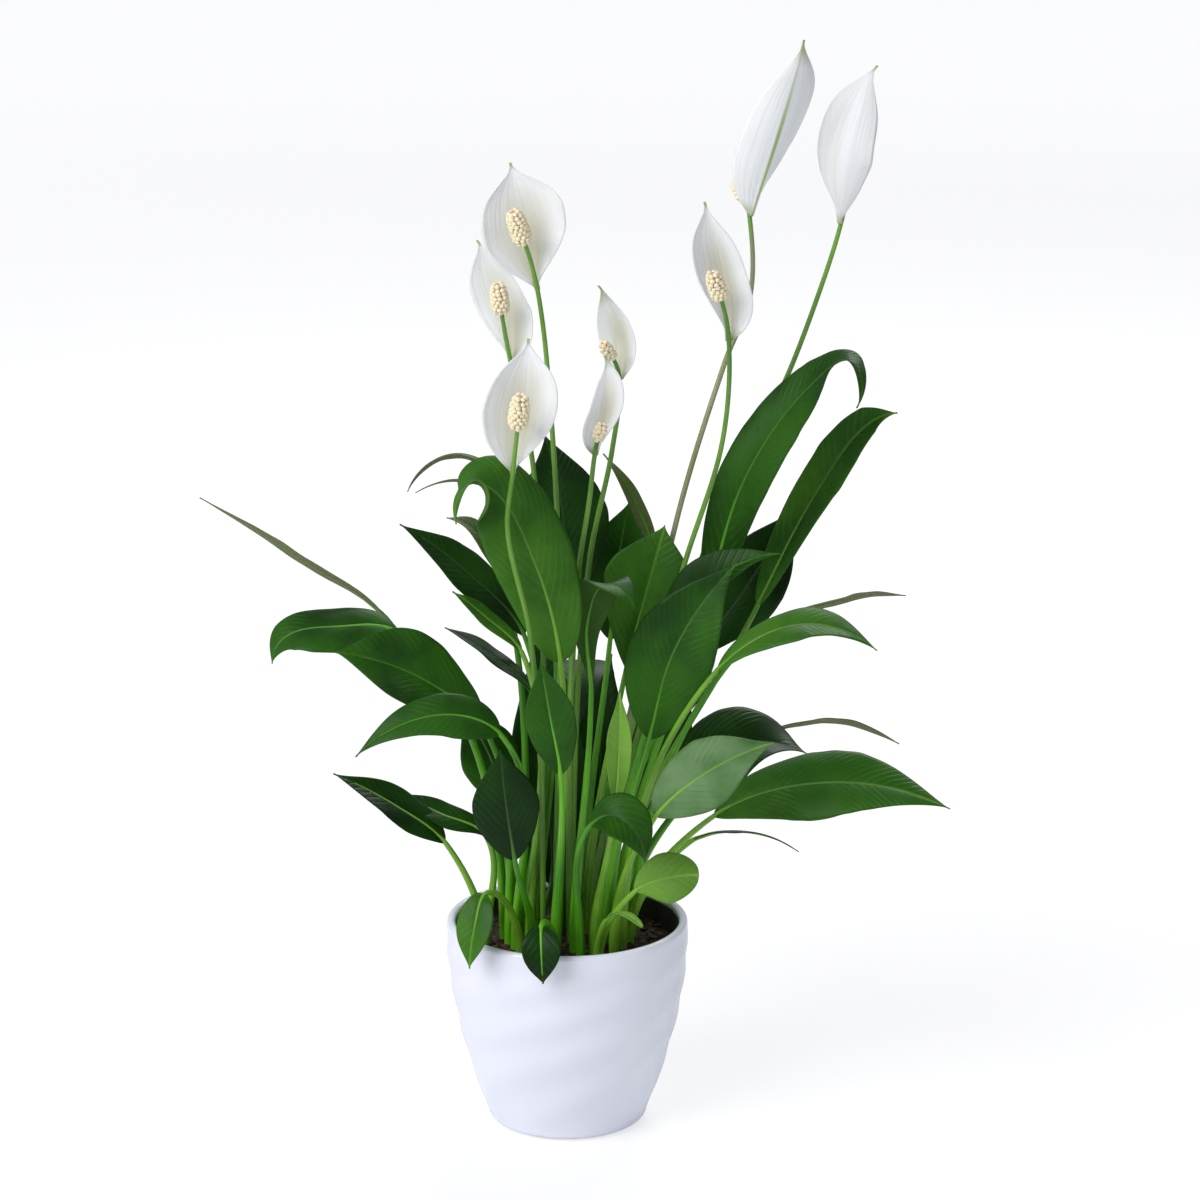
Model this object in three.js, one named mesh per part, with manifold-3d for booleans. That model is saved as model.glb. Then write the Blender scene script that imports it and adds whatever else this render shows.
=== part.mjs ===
// A peace lily in bloom, in a round glazed pot with soft slanting ridges.
// Millimetres, +Z up. The origin is the centre of the pot's flat underside, on the pot's axis.
// +X is to the right and +Y away from someone who looks at the plant's front.
import * as THREE from "three";
import { mergeVertices } from "three/addons/utils/BufferGeometryUtils.js";
import Module from "manifold-3d";

const wasm = await Module();
wasm.setup();

// ---- Driving dimensions -------------------------------------------------------------------

const GAP = 0.3; // between pieces that rest on each other

const POT = {
  height: 122,
  bellyRadius: 70, // the widest ring of the wall
  bellyHeight: 111,
  lowRadius: 44.5, // the wall's radius where it would meet the table
  wallPower: 1.75, // how fast the wall swells from there to the belly
  footRadius: 38.5, // the flat spot that the pot stands on
  footHeight: 5, // of the rounding between the flat spot and the wall
  footRings: 3,
  wallRings: 8,
  innerRings: 3,
  wall: 5,
  floor: 7,
  segments: 48,
};

const RIDGES = { height: 0.45, starts: 5, bands: 4.2, bandPower: 1.35, fade: 0.14 };

const SOIL = { top: 107, holeDepth: 11, holeSides: 5, holeSlack: 0.35 };

const SHEATH_LENGTH = 1; // how far a petiole or stalk stands upright above the soil

const PETIOLE = { rootRadius: 2.7, neckRadius: 1.5, steps: 3 };

const BLADE = {
  edge: 0.8, // thickness of the blade away from its midrib
  ribBase: 2.4,
  ribTip: 1.0,
  ribPower: 2, // how fast the blade thins from the midrib to its edge
  tipHalf: 0.45, // half of the width that is left at the tip
  neckShare: 0.14, // of the blade's length, over which the petiole flattens into the blade
  full: 0.45, // the share of its length at which a blade is widest, unless its row says otherwise
  shoulder: 0.8, // the power that rounds the blade's foot
  taper: 0.5, // what the power gains towards the tip, which draws the tip out
  waveTurn: 9, // radians of edge wave along a blade
  waveLag: 1.3, // radians between the waves of the midrib and of an edge
  columns: 5,
  steps: 8,
  smallColumns: 3,
  smallSteps: 7,
};

const STALK = { rootRadius: 1.7, topRadius: 1.2, sides: 6, stepsPerSpan: 3 };

const SPATHE = {
  thickness: 0.8,
  baseHalf: 1.2,
  tipHalf: 0.5,
  columns: 6,
  steps: 9,
  behind: 1.6, // how far its foot lies behind the stalk's axis
  middle: 0.45, // the share of its length at which it bows and leans most
  shoulder: 0.55, // the power that rounds the outline
  foot: 0.6, // what the power gains at the foot, fading with its cube
  point: 1.5, // what the power gains at the tip, rising with its sixth power
};

const SPADIX = { around: 10, along: 7, bump: 0.16, neck: 0.55, neckSwell: 4, endPower: 5 };

const COLOUR = {
  pot: 0xe6e6f2,
  soil: 0x2b211b,
  deep: 0x1c4a20,
  mid: 0x2c6a2a,
  light: 0x4c8f3c,
  pale: 0x7fae52,
  stalk: 0x6f9a45,
  spathe: 0xf3f2ec,
  spadix: 0xeadfbe,
};

// Leaves. Each row gives, in millimetres, where the petiole leaves the soil, then the blade's neck, the
// places that its midrib passes by, and its tip. half is the blade's greatest half-width, and full is
// the share of its length at which it has it. turn is the compass angle, in degrees from +X, that the
// leaf heads for, at the neck and at the tip: an upright blade turns its back to it. roll tilts the blade
// round its own midrib, at the neck and at the tip. fold lifts the two halves into a valley, droop lets
// their edges fall again, and wave is the height of the edge's waves. A small leaf has fewer facets. Rows
// that share a name grow from one sheath and are one piece.
const LEAVES = [
  { name: "right_tall", root: [29, 11], neck: [81, 34, 303],
    by: [[102, 32, 376], [137, 26, 430], [161, 10, 449]], tip: [163, -4, 425], half: 17, full: 0.36,
    turn: [75, -80], roll: [0, 0], fold: 0.3, droop: 0.2, wave: 1, tone: "mid" },
  { name: "right_tall_back", root: [27, 28], neck: [111, 56, 294], by: [[147, 66, 363], [176, 64, 402]],
    tip: [191, 62, 408], half: 13, full: 0.38, turn: [45, 45], roll: [10, 20], fold: 0.5, droop: 0.1,
    wave: 1.5, tone: "mid" },
  { name: "right_broad_back", root: [17, 33], neck: [78, 62, 262], by: [[106, 74, 302]],
    tip: [134, 80, 347], half: 22, full: 0.5, turn: [80, 80], roll: [0, 10], fold: 0.25, droop: 0.25,
    wave: 2, tone: "deep" },
  { name: "right_inner", root: [24, -4], neck: [58, -12, 280], by: [[78, -15, 324]], tip: [121, -20, 345],
    half: 15, turn: [50, 50], roll: [0, 10], fold: 0.5, droop: 0.1, wave: 1, tone: "mid" },
  { name: "right_arching", root: [32, -14], neck: [84, -48, 284], by: [[131, -54, 313]],
    tip: [173, -62, 300], half: 16, turn: [-5, -5], roll: [20, 15], fold: 0.35, droop: 0.3, wave: 1.5,
    tone: "light" },
  { name: "right_edge", root: [38, 7], neck: [106, 40, 278], by: [[160, 45, 301]], tip: [197, 50, 302],
    half: 12, turn: [5, 5], roll: [-24, -26], fold: 0.1, droop: 0.1, wave: 0.8, tone: "deep" },
  { name: "right_low_long", root: [36, -4], neck: [84, -15, 188], by: [[150, -20, 210]],
    tip: [218, -35, 199], half: 24, turn: [-8, -8], roll: [36, 34], fold: 0.25, droop: 0.3, wave: 2,
    tone: "mid" },
  { name: "right_low_facing", root: [27, -25], neck: [50, -62, 203], by: [[80, -68, 232]],
    tip: [116, -70, 249], half: 20, turn: [50, 50], roll: [20, 20], fold: 0.2, droop: 0.25, wave: 1.2,
    tone: "mid" },
  { name: "right_low_dark", root: [31, 19], neck: [68, 40, 195], by: [[101, 47, 213]], tip: [141, 38, 209],
    half: 27, turn: [45, 45], roll: [15, 30], fold: 0.25, droop: 0.2, wave: 1.5, tone: "deep" },
  { name: "right_low_edge", root: [35, 27], neck: [102, 70, 202], by: [[147, 80, 216]], tip: [197, 75, 204],
    half: 14, turn: [10, 10], roll: [-22, -24], fold: 0.15, droop: 0.1, wave: 1, tone: "deep" },
  { name: "right_low_long", root: [36, -4], neck: [73, 14, 164], by: [[104, 18, 168]], tip: [135, 14, 157],
    half: 9, turn: [0, 0], roll: [-16, -18], fold: 0.1, droop: 0.1, wave: 0.5, tone: "mid", small: true },
  { name: "rim_right", root: [18, -37], neck: [38, -50, 154], by: [[54, -56, 164]], tip: [75, -58, 167],
    half: 14.5, full: 0.58, taper: -0.35, turn: [20, 20], roll: [62, 62], fold: 0.2, droop: 0.2, wave: 0.6,
    tone: "pale", small: true },
  { name: "rim_right", root: [18, -37], neck: [22, -48, 136], by: [[30, -57, 145]], tip: [43, -66, 139],
    half: 3.2, full: 0.6, taper: -0.35, turn: [-60, -60], roll: [0, 0], fold: 0, droop: 0, wave: 0,
    tone: "pale", small: true },
  { name: "front_dark_small", root: [8, -33], neck: [13, -64, 198], by: [[29, -76, 208]],
    tip: [44, -84, 184], half: 15, full: 0.55, turn: [0, 0], roll: [40, 50], fold: 0.2, droop: 0.1,
    wave: 0.6, tone: "deep", small: true },
  { name: "centre_pale", root: [-6, -14], neck: [-3, -42, 287],
    by: [[-17, -47, 346], [-41, -52, 390], [-54, -60, 394]], tip: [-60, -69, 374], half: 24, full: 0.35,
    turn: [100, 225], roll: [0, 0], fold: 0.25, droop: 0.25, wave: 1.5, tone: "light" },
  { name: "back_top", root: [-4, 22], neck: [2, 48, 300], by: [[-3, 52, 353]], tip: [-13, 55, 397],
    half: 26, turn: [90, 90], roll: [0, 0], fold: 0.3, droop: 0.2, wave: 1.5, tone: "deep" },
  { name: "left_top_edge", root: [-17, 14], neck: [-26, 22, 366], by: [[-62, 26, 392]], tip: [-91, 20, 371],
    half: 13, turn: [180, 180], roll: [16, 16], fold: 0.1, droop: 0.2, wave: 0.6, tone: "mid",
    small: true },
  { name: "left_top_edge", root: [-17, 14], neck: [-30, 18, 364], by: [[-58, 14, 379]], tip: [-86, 10, 373],
    half: 9, turn: [180, 180], roll: [16, 16], fold: 0.1, droop: 0.1, wave: 0.4, tone: "mid", small: true },
  { name: "left_dark_pointed", root: [-22, -3], neck: [-24, 0, 291], by: [[-57, -5, 331]],
    tip: [-94, -8, 359], half: 14, turn: [170, 170], roll: [-40, -30], fold: 0.25, droop: 0.2, wave: 1,
    tone: "deep" },
  { name: "left_bright_tip", root: [-22, -13], neck: [-25, -18, 286], by: [[-47, -22, 310]],
    tip: [-64, -24, 324], half: 6, turn: [180, 180], roll: [-40, -40], fold: 0.2, droop: 0.1, wave: 0.6,
    tone: "light", small: true },
  { name: "left_pair", root: [-25, 7], neck: [-20, 14, 253], by: [[-45, 18, 276]], tip: [-70, 16, 292],
    half: 10, turn: [180, 180], roll: [-10, -10], fold: 0.2, droop: 0.1, wave: 0.6, tone: "deep",
    small: true },
  { name: "left_pair", root: [-25, 7], neck: [-36, 32, 312], by: [[-51, 30, 345]], tip: [-69, 28, 354],
    half: 9, turn: [150, 150], roll: [0, 0], fold: 0.2, droop: 0.1, wave: 0.6, tone: "deep", small: true },
  { name: "back_pair", root: [8, 25], neck: [25, 68, 270], by: [[30, 72, 318]], tip: [36, 75, 352],
    half: 20, turn: [80, 80], roll: [0, 0], fold: 0.25, droop: 0.2, wave: 1, tone: "mid" },
  { name: "back_pair", root: [8, 25], neck: [52, 92, 309], by: [[40, 96, 346]], tip: [21, 96, 376], half: 5,
    turn: [120, 120], roll: [0, 0], fold: 0.3, droop: 0.1, wave: 0.6, tone: "mid", small: true },
  { name: "back_high", root: [-16, 30], neck: [-10, 38, 128], by: [[-12, 46, 190]], tip: [-16, 56, 291],
    half: 24, turn: [95, 95], roll: [0, 0], fold: 0.3, droop: 0.2, wave: 1.5, tone: "deep" },
  { name: "back_low_middle", root: [3, 36], neck: [0, 80, 190], by: [[6, 124, 232]], tip: [14, 170, 226],
    half: 22, turn: [85, 85], roll: [0, 0], fold: 0.3, droop: 0.3, wave: 1.5, tone: "deep" },
  { name: "back_low_right", root: [26, 38], neck: [40, 82, 188], by: [[66, 118, 226]], tip: [88, 150, 222],
    half: 19, turn: [55, 55], roll: [0, 0], fold: 0.3, droop: 0.3, wave: 1.5, tone: "mid" },
  { name: "centre_broad", root: [11, 13], neck: [34, 12, 268], by: [[46, 14, 315]], tip: [56, 18, 352],
    half: 26, full: 0.55, turn: [85, 85], roll: [0, 0], fold: 0.3, droop: 0.2, wave: 1.5, tone: "mid" },
  { name: "centre_folded", root: [4, -20], neck: [14, -26, 266], by: [[12, -27, 308], [22, -34, 331]],
    tip: [38, -48, 320], half: 14, full: 0.6, turn: [-90, -50], roll: [0, 0], fold: 0.2, droop: 0.1,
    wave: 1, tone: "deep" },
  { name: "centre_right_broad", root: [19, -14], neck: [47, -28, 238], by: [[61, -32, 292]],
    tip: [96, -36, 344], half: 25, turn: [75, 75], roll: [0, 0], fold: 0.3, droop: 0.2, wave: 2,
    tone: "mid" },
  { name: "front_pair", root: [-7, -31], neck: [-3, -66, 229], by: [[-9, -68, 265]], tip: [-14, -66, 295],
    half: 14, turn: [90, 90], roll: [0, 0], fold: 0.3, droop: 0.1, wave: 0.6, tone: "deep", small: true },
  { name: "front_young", root: [15, -28], neck: [28, -54, 208], by: [[30, -56, 246]], tip: [30, -56, 274],
    half: 7, turn: [85, 85], roll: [0, 0], fold: 0.5, droop: 0, wave: 0.3, tone: "pale", small: true },
  { name: "left_arching", root: [-34, -5], neck: [-45, -24, 240], by: [[-80, -34, 275]],
    tip: [-129, -44, 294], half: 24, full: 0.58, turn: [190, 190], roll: [-48, -48], fold: 0.35, droop: 0.1,
    wave: 1.5, tone: "deep" },
  { name: "left_upper", root: [-37, 5], neck: [-98, 2, 293], by: [[-130, 0, 297], [-161, -3, 291]],
    tip: [-168, -8, 277], half: 18, full: 0.4, turn: [185, 185], roll: [-30, -30], fold: 0.2, droop: 0.3,
    wave: 1.5, tone: "deep" },
  { name: "left_back_pair", root: [-31, 18], neck: [-104, 30, 293], by: [[-156, 34, 330]],
    tip: [-211, 36, 364], half: 7, turn: [180, 180], roll: [32, 32], fold: 0.1, droop: 0.1, wave: 0.4,
    tone: "mid", small: true },
  { name: "left_mid", root: [-30, -14], neck: [-37, -56, 250], by: [[-71, -66, 264]], tip: [-117, -74, 242],
    half: 15, full: 0.38, turn: [190, 190], roll: [-40, -40], fold: 0.2, droop: 0.2, wave: 1, tone: "mid" },
  { name: "left_low", root: [-48, -10], neck: [-70, -12, 171], by: [[-97, -18, 195]], tip: [-133, -22, 216],
    half: 13, turn: [185, 185], roll: [-40, -30], fold: 0.2, droop: 0.1, wave: 1.4, tone: "deep",
    small: true },
  { name: "left_low", root: [-48, -10], neck: [-47, -8, 174], by: [[-73, -6, 187]], tip: [-100, 2, 197],
    half: 9, turn: [185, 185], roll: [-40, -30], fold: 0.2, droop: 0.1, wave: 1, tone: "deep",
    small: true },
  { name: "left_round_dark", root: [-19, -22], neck: [-29, -56, 175], by: [[-34, -60, 212]],
    tip: [-37, -60, 242], half: 19, turn: [100, 100], roll: [0, 0], fold: 0.2, droop: 0.3, wave: 1,
    tone: "deep" },
  { name: "left_back_pair", root: [-31, 18], neck: [-36, 20, 182], by: [[-46, 24, 214]],
    tip: [-62, 26, 240], half: 18, turn: [110, 110], roll: [0, 0], fold: 0.2, droop: 0.2, wave: 1,
    tone: "deep", small: true },
  { name: "rim_left", root: [-27, -24], neck: [-46, -52, 154], by: [[-52, -64, 138]], tip: [-55, -66, 114],
    half: 11, turn: [230, 230], roll: [-15, -15], fold: 0.2, droop: 0.1, wave: 0.5, tone: "light",
    small: true },
  { name: "front_pair", root: [-7, -31], neck: [-14, -70, 141], by: [[-14, -81, 129]], tip: [-13, -80, 110],
    half: 11, turn: [-90, -90], roll: [0, 0], fold: 0.2, droop: 0.1, wave: 0.4, tone: "deep", small: true },
  { name: "back_top", root: [-4, 22], neck: [17, 46, 142], by: [[19, 62, 196]], tip: [26, 80, 258],
    half: 18, turn: [88, 88], roll: [0, 0], fold: 0.3, droop: 0.2, wave: 1, tone: "deep", small: true },
  { name: "right_broad_back", root: [17, 33], neck: [45, 52, 164], by: [[57, 66, 208]], tip: [73, 74, 248],
    half: 17, turn: [75, 75], roll: [0, 0], fold: 0.3, droop: 0.2, wave: 1, tone: "deep", small: true },
];

// Blooms. Each row gives, in millimetres, where the stalk leaves the soil, the places that it passes by,
// the place where the spathe grows out of it, the foot of the spadix, and the spathe's tip. half is the
// spathe's greatest half-width, full is the share of its length at which it has it, and skew is how much
// further up one edge is fullest, and how much lower the other. face is the compass angle that the spathe's
// open side looks at, bow is how far its middle bulges back, lean is how far its middle stands towards +X,
// and cup lifts its edges. spadix is the spadix's radius and length.
const BLOOMS = [
  { root: [-7, 4], by: [[-4, 4, 311], [-8, 6, 410]], foot: [-16, 8, 490], seat: [-23, 1, 518],
    tip: [-31, 12, 561], half: 24, full: 0.56, skew: 0.04, face: -90, bow: 5, lean: 0, cup: 0.35,
    spadix: [6, 22] },
  { root: [-15, 2], by: [[-15, 12, 333], [-22, 14, 409]], foot: [-31, 10, 447], seat: [-36, 3, 478],
    tip: [-50, 14, 517], half: 16, full: 0.475, skew: -0.12, face: -110, bow: 8, lean: 3, cup: 0.4,
    spadix: [5.5, 19] },
  { root: [-14, -12], by: [[-20, -60, 310], [-32, -63, 372]], foot: [-29, -60, 400], seat: [-26, -67, 428],
    tip: [-20, -56, 475], half: 20, full: 0.515, skew: 0.06, face: -90, bow: 5, lean: 0, cup: 0.35,
    spadix: [6, 22] },
  { root: [3, 6], by: [[13, 22, 330], [26, 24, 395]], foot: [30, 22, 436], seat: [26, 15, 450],
    tip: [18, 26, 489], half: 11.5, full: 0.42, skew: -0.05, face: -120, bow: 8, lean: 2, cup: 0.5,
    spadix: [4, 15] },
  { root: [1, -6], by: [[7, -16, 334], [13, -18, 375]], foot: [16, -18, 401], seat: [18, -24, 412],
    tip: [22, -14, 457], half: 9.5, full: 0.46, skew: 0.19, face: -100, bow: 5, lean: 3, cup: 0.5,
    spadix: [4, 14] },
  { root: [20, 9], by: [[62, 26, 349], [90, 28, 445], [104, 28, 484]], foot: [103, 28, 529],
    seat: [101, 37, 537], tip: [132, 22, 628], half: 18.5, full: 0.555, skew: -0.17, face: 115, bow: 5,
    lean: -1, cup: 0.4, spadix: [5, 23] },
  { root: [22, 19], by: [[92, 54, 360], [124, 54, 425], [144, 52, 480]], foot: [156, 50, 521],
    seat: [160, 60, 538], tip: [175, 50, 610], half: 18, full: 0.6, skew: 0.08, face: 62, bow: 13, lean: -6,
    cup: 0.5, spadix: [5.5, 22] },
  { root: [14, 3], by: [[66, 0, 330], [88, -2, 406]], foot: [91, -4, 463], seat: [86, -11, 489],
    tip: [77, 0, 541], half: 15, full: 0.48, skew: -0.16, face: -80, bow: 5, lean: 3, cup: 0.4,
    spadix: [5.5, 18] },
];

// ---- Helpers ------------------------------------------------------------------------------

const UP = Object.freeze(new THREE.Vector3(0, 0, 1));

const vec = (p) => new THREE.Vector3(...p);
const mix = (a, b, s) => a + (b - a) * s;
const smooth = (s) => THREE.MathUtils.smoothstep(s, 0, 1);
const radians = THREE.MathUtils.degToRad;

function levels(from, to, count) {
  return Array.from({ length: count + 1 }, (_, i) => mix(from, to, i / count));
}

// A smooth curve through points: cubic spans whose tangents halve the angle at each point.
// It sets out along start and ends in a mirror image of the turn before its end.
function pathThrough(points, start) {
  const chords = points.slice(1).map((p, i) => p.clone().sub(points[i]));
  const lengths = chords.map((chord) => chord.length());
  const aims = chords.map((chord) => chord.clone().normalize());
  const tangents = [start.clone().normalize()];
  for (let i = 1; i < aims.length; i++) {
    tangents.push(aims[i - 1].clone().add(aims[i]).normalize());
  }
  const last = aims.at(-1);
  const before = tangents.at(-1);
  tangents.push(last.clone().multiplyScalar(2 * last.dot(before)).sub(before).normalize());
  return (k) => {
    const i = Math.min(Math.floor(k), chords.length - 1);
    const s = k - i;
    const blend = (place0, slope0, place1, slope1) =>
      points[i]
        .clone()
        .multiplyScalar(place0)
        .addScaledVector(tangents[i], slope0 * lengths[i])
        .addScaledVector(points[i + 1], place1)
        .addScaledVector(tangents[i + 1], slope1 * lengths[i]);
    const ease = 3 * s ** 2 - 2 * s ** 3;
    const rate = 6 * s - 6 * s ** 2;
    return {
      point: blend(1 - ease, s - 2 * s ** 2 + s ** 3, ease, s ** 3 - s ** 2),
      tangent: blend(-rate, 1 - 4 * s + 3 * s ** 2, rate, 3 * s ** 2 - 2 * s).normalize(),
    };
  };
}

// The side and upper directions of a strip that runs along tangent and heads for the angle turn.
function frameAt(tangent, turn, roll) {
  const side = new THREE.Vector3(Math.sin(radians(turn)), -Math.cos(radians(turn)), 0);
  side.addScaledVector(tangent, -side.dot(tangent)).normalize();
  const upper = side.clone().cross(tangent);
  side.applyAxisAngle(tangent, radians(roll));
  upper.applyAxisAngle(tangent, radians(roll));
  return { side, upper };
}

// Closes rings of equal size into one solid. A ring lists its upper points, from one side to the
// other, and then the lower points in the same order, so both faces get the same diagonals.
function solidOfRings(rings) {
  const size = rings[0].length;
  const columns = size / 2;
  const corners = [];
  const quad = (a, b, c, d) => corners.push(a, b, c, a, c, d);
  for (let i = 0; i + 1 < rings.length; i++) {
    const a = i * size;
    const b = a + size;
    for (let j = 0; j + 1 < columns; j++) {
      const al = a + columns + j;
      const bl = b + columns + j;
      quad(a + j, a + j + 1, b + j + 1, b + j);
      quad(al, bl, bl + 1, al + 1);
    }
    quad(a, b, b + columns, a + columns);
    quad(a + size - 1, b + size - 1, b + columns - 1, a + columns - 1);
  }
  const end = (rings.length - 1) * size;
  for (let j = 0; j + 1 < columns; j++) {
    quad(j + 1, j, j + columns, j + columns + 1);
    quad(end + j, end + j + 1, end + j + columns + 1, end + j + columns);
  }
  const geometry = new THREE.BufferGeometry().setFromPoints(rings.flat());
  geometry.setIndex(corners);
  return geometry;
}

function toSolid(geometry) {
  const bare = geometry.clone();
  bare.deleteAttribute("normal");
  bare.deleteAttribute("uv");
  const merged = mergeVertices(bare, 1e-3);
  return new wasm.Manifold(
    new wasm.Mesh({
      numProp: 3,
      vertProperties: merged.attributes.position.array,
      triVerts: new Uint32Array(merged.index.array),
    }),
  );
}

function toGeometry(solid) {
  const mesh = solid.getMesh();
  const geometry = new THREE.BufferGeometry();
  geometry.setAttribute("position", new THREE.BufferAttribute(mesh.vertProperties, mesh.numProp));
  geometry.setIndex(new THREE.BufferAttribute(mesh.triVerts, 1));
  geometry.computeVertexNormals();
  return geometry;
}

function largestOf(solid) {
  return solid.decompose().reduce((a, b) => (a.volume() > b.volume() ? a : b));
}

function piece(name, geometry, colour, roughness) {
  const material = new THREE.MeshStandardMaterial({ color: colour, roughness, metalness: 0 });
  const mesh = new THREE.Mesh(geometry, material);
  mesh.name = name;
  return mesh;
}

// ---- Pot and soil -------------------------------------------------------------------------

function wallRadius(z) {
  const below = Math.max(0, 1 - z / POT.bellyHeight);
  return POT.bellyRadius - (POT.bellyRadius - POT.lowRadius) * below ** POT.wallPower;
}

// How far the wall stands out at a height and an angle: slanting ridges that fade at foot and rim.
function ridgeAt(z, angle) {
  const level = z / POT.height;
  const fade = smooth(level / RIDGES.fade) * smooth((1 - level) / RIDGES.fade);
  const phase = RIDGES.starts * angle - 2 * Math.PI * RIDGES.bands * level ** RIDGES.bandPower;
  return RIDGES.height * fade * Math.sin(phase);
}

// Turns a profile of [radius, z] pairs about the Z axis.
function turned(profile) {
  const points = profile.map(([r, z]) => new THREE.Vector2(r, z));
  return new THREE.LatheGeometry(points, POT.segments).rotateX(Math.PI / 2);
}

// The pot's inner wall is straight between these heights, and the soil lies against it.
const INNER_LEVELS = levels(POT.floor, POT.height - POT.wall / 2, POT.innerRings);

function innerRadius(z) {
  const above = Math.max(1, INNER_LEVELS.findIndex((level) => level >= z));
  const [low, high] = [INNER_LEVELS[above - 1], INNER_LEVELS[above]];
  return mix(wallRadius(low), wallRadius(high), (z - low) / (high - low)) - POT.wall;
}

function makePot() {
  const rim = POT.wall / 2;
  const shoulder = POT.height - rim;
  const foot = levels(0, Math.PI / 2, POT.footRings).map((a) => [
    mix(POT.footRadius, wallRadius(POT.footHeight), Math.sin(a)),
    POT.footHeight * (1 - Math.cos(a)),
  ]);
  const wall = levels(POT.footHeight, shoulder, POT.wallRings)
    .slice(1)
    .map((z) => [wallRadius(z), z]);
  const lip = [45, 90, 135, 180].map((a) => [
    wallRadius(shoulder) - rim + rim * Math.cos(radians(a)),
    shoulder + rim * Math.sin(radians(a)),
  ]);
  const inside = INNER_LEVELS.slice(0, -1)
    .reverse()
    .map((z) => [innerRadius(z), z]);
  const geometry = turned([[0, 0], ...foot, ...wall, ...lip, ...inside, [0, POT.floor]]);
  const at = geometry.attributes.position;
  for (let i = 0; i < at.count; i++) {
    const radius = Math.hypot(at.getX(i), at.getY(i));
    const z = at.getZ(i);
    const onWall = z >= POT.footHeight / 2 && z <= shoulder && radius > wallRadius(z) - rim;
    if (onWall) {
      const angle = Math.atan2(at.getY(i), at.getX(i));
      const scale = (radius + ridgeAt(z, angle)) / radius;
      at.setX(i, at.getX(i) * scale);
      at.setY(i, at.getY(i) * scale);
    }
  }
  return geometry;
}

function makeSoil(roots) {
  const bottom = POT.floor + GAP;
  const heights = [bottom, ...INNER_LEVELS.filter((z) => z > bottom && z < SOIL.top), SOIL.top];
  const side = heights.map((z) => [innerRadius(z) - GAP, z]);
  let soil = toSolid(turned([[0, bottom], ...side, [0, SOIL.top]]));
  for (const { x, y, radius } of roots) {
    const wide = (radius + SOIL.holeSlack) / Math.cos(Math.PI / SOIL.holeSides);
    const hole = new THREE.CylinderGeometry(wide, wide, 2 * SOIL.holeDepth, SOIL.holeSides);
    hole.rotateX(Math.PI / 2).translate(x, y, SOIL.top);
    soil = soil.subtract(toSolid(hole));
  }
  return toGeometry(soil);
}

// The buried end of a petiole or stalk, just clear of its hole's bottom, and the start of its path.
const buriedEnd = ([x, y]) => vec([x, y, SOIL.top - SOIL.holeDepth + 1]);
const pathStart = ([x, y]) => vec([x, y, SOIL.top + SHEATH_LENGTH]);

// ---- Leaves -------------------------------------------------------------------------------

// A sine along a blade or spathe whose top lies at the share full of its length.
function swell(u, full) {
  return Math.max(0, Math.sin(Math.PI * Math.min(u, 1) ** (Math.log(0.5) / Math.log(full))));
}

// The half-width of a blade as a share of its greatest: a narrow foot, a full middle and a tip that is
// drawn out, or blunt where a row's taper is below 0.
function bladeShape(u, full = BLADE.full, taper = BLADE.taper) {
  return swell(u, full) ** (BLADE.shoulder + taper * u);
}

// One ring of a leaf. u runs from 0 at the blade's neck to 1 at its tip, and is 0 along the petiole,
// whose radius is stem.
function leafRing(leaf, { point, tangent }, stem, u) {
  const columns = leaf.small ? BLADE.smallColumns : BLADE.columns;
  const turn = mix(leaf.turn[0], leaf.turn[1], u ** 2);
  const { side, upper } = frameAt(tangent, turn, mix(leaf.roll[0], leaf.roll[1], u));
  const flat = smooth(u / BLADE.neckShare);
  const shape = bladeShape(u, leaf.full, leaf.taper);
  const half = u > 0 ? Math.max(BLADE.tipHalf, leaf.half * shape) : stem;
  const rib = mix(BLADE.ribBase, BLADE.ribTip, u);
  const top = [];
  const low = [];
  for (let j = 0; j < columns; j++) {
    const v = mix(-1, 1, j / (columns - 1));
    const size = Math.abs(v);
    const round = Math.PI * (1 - (j + 0.5) / columns);
    const ripple = Math.sin(BLADE.waveTurn * u + BLADE.waveLag * v) * Math.sin(Math.PI * u);
    const rise = half * (leaf.fold * size - leaf.droop * size ** 2) + leaf.wave * v * size * ripple;
    const depth = mix(BLADE.edge, rib, (1 - size) ** BLADE.ribPower);
    const across = mix(stem * Math.cos(round), half * v, flat);
    const above = mix(stem * Math.sin(round), rise + BLADE.edge / 2, flat);
    const below = mix(-stem * Math.sin(round), rise + BLADE.edge / 2 - depth, flat);
    const place = point.clone().addScaledVector(side, across);
    top.push(place.clone().addScaledVector(upper, above));
    low.push(place.clone().addScaledVector(upper, below));
  }
  return [...top, ...low];
}

function leafRings(leaf) {
  const steps = leaf.small ? BLADE.smallSteps : BLADE.steps;
  const points = [pathStart(leaf.root), ...[leaf.neck, ...leaf.by, leaf.tip].map(vec)];
  const path = pathThrough(points, UP);
  const bladeSpans = points.length - 2;
  const buried = { point: buriedEnd(leaf.root), tangent: UP.clone() };
  const petiole = levels(0, 1, PETIOLE.steps).map((s) =>
    leafRing(leaf, path(s), mix(PETIOLE.rootRadius, PETIOLE.neckRadius, s), 0),
  );
  const blade = levels(0, 1, steps)
    .slice(1)
    .map((u) => leafRing(leaf, path(1 + bladeSpans * u), PETIOLE.neckRadius, u));
  return [leafRing(leaf, buried, PETIOLE.rootRadius, 0), ...petiole, ...blade];
}

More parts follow.
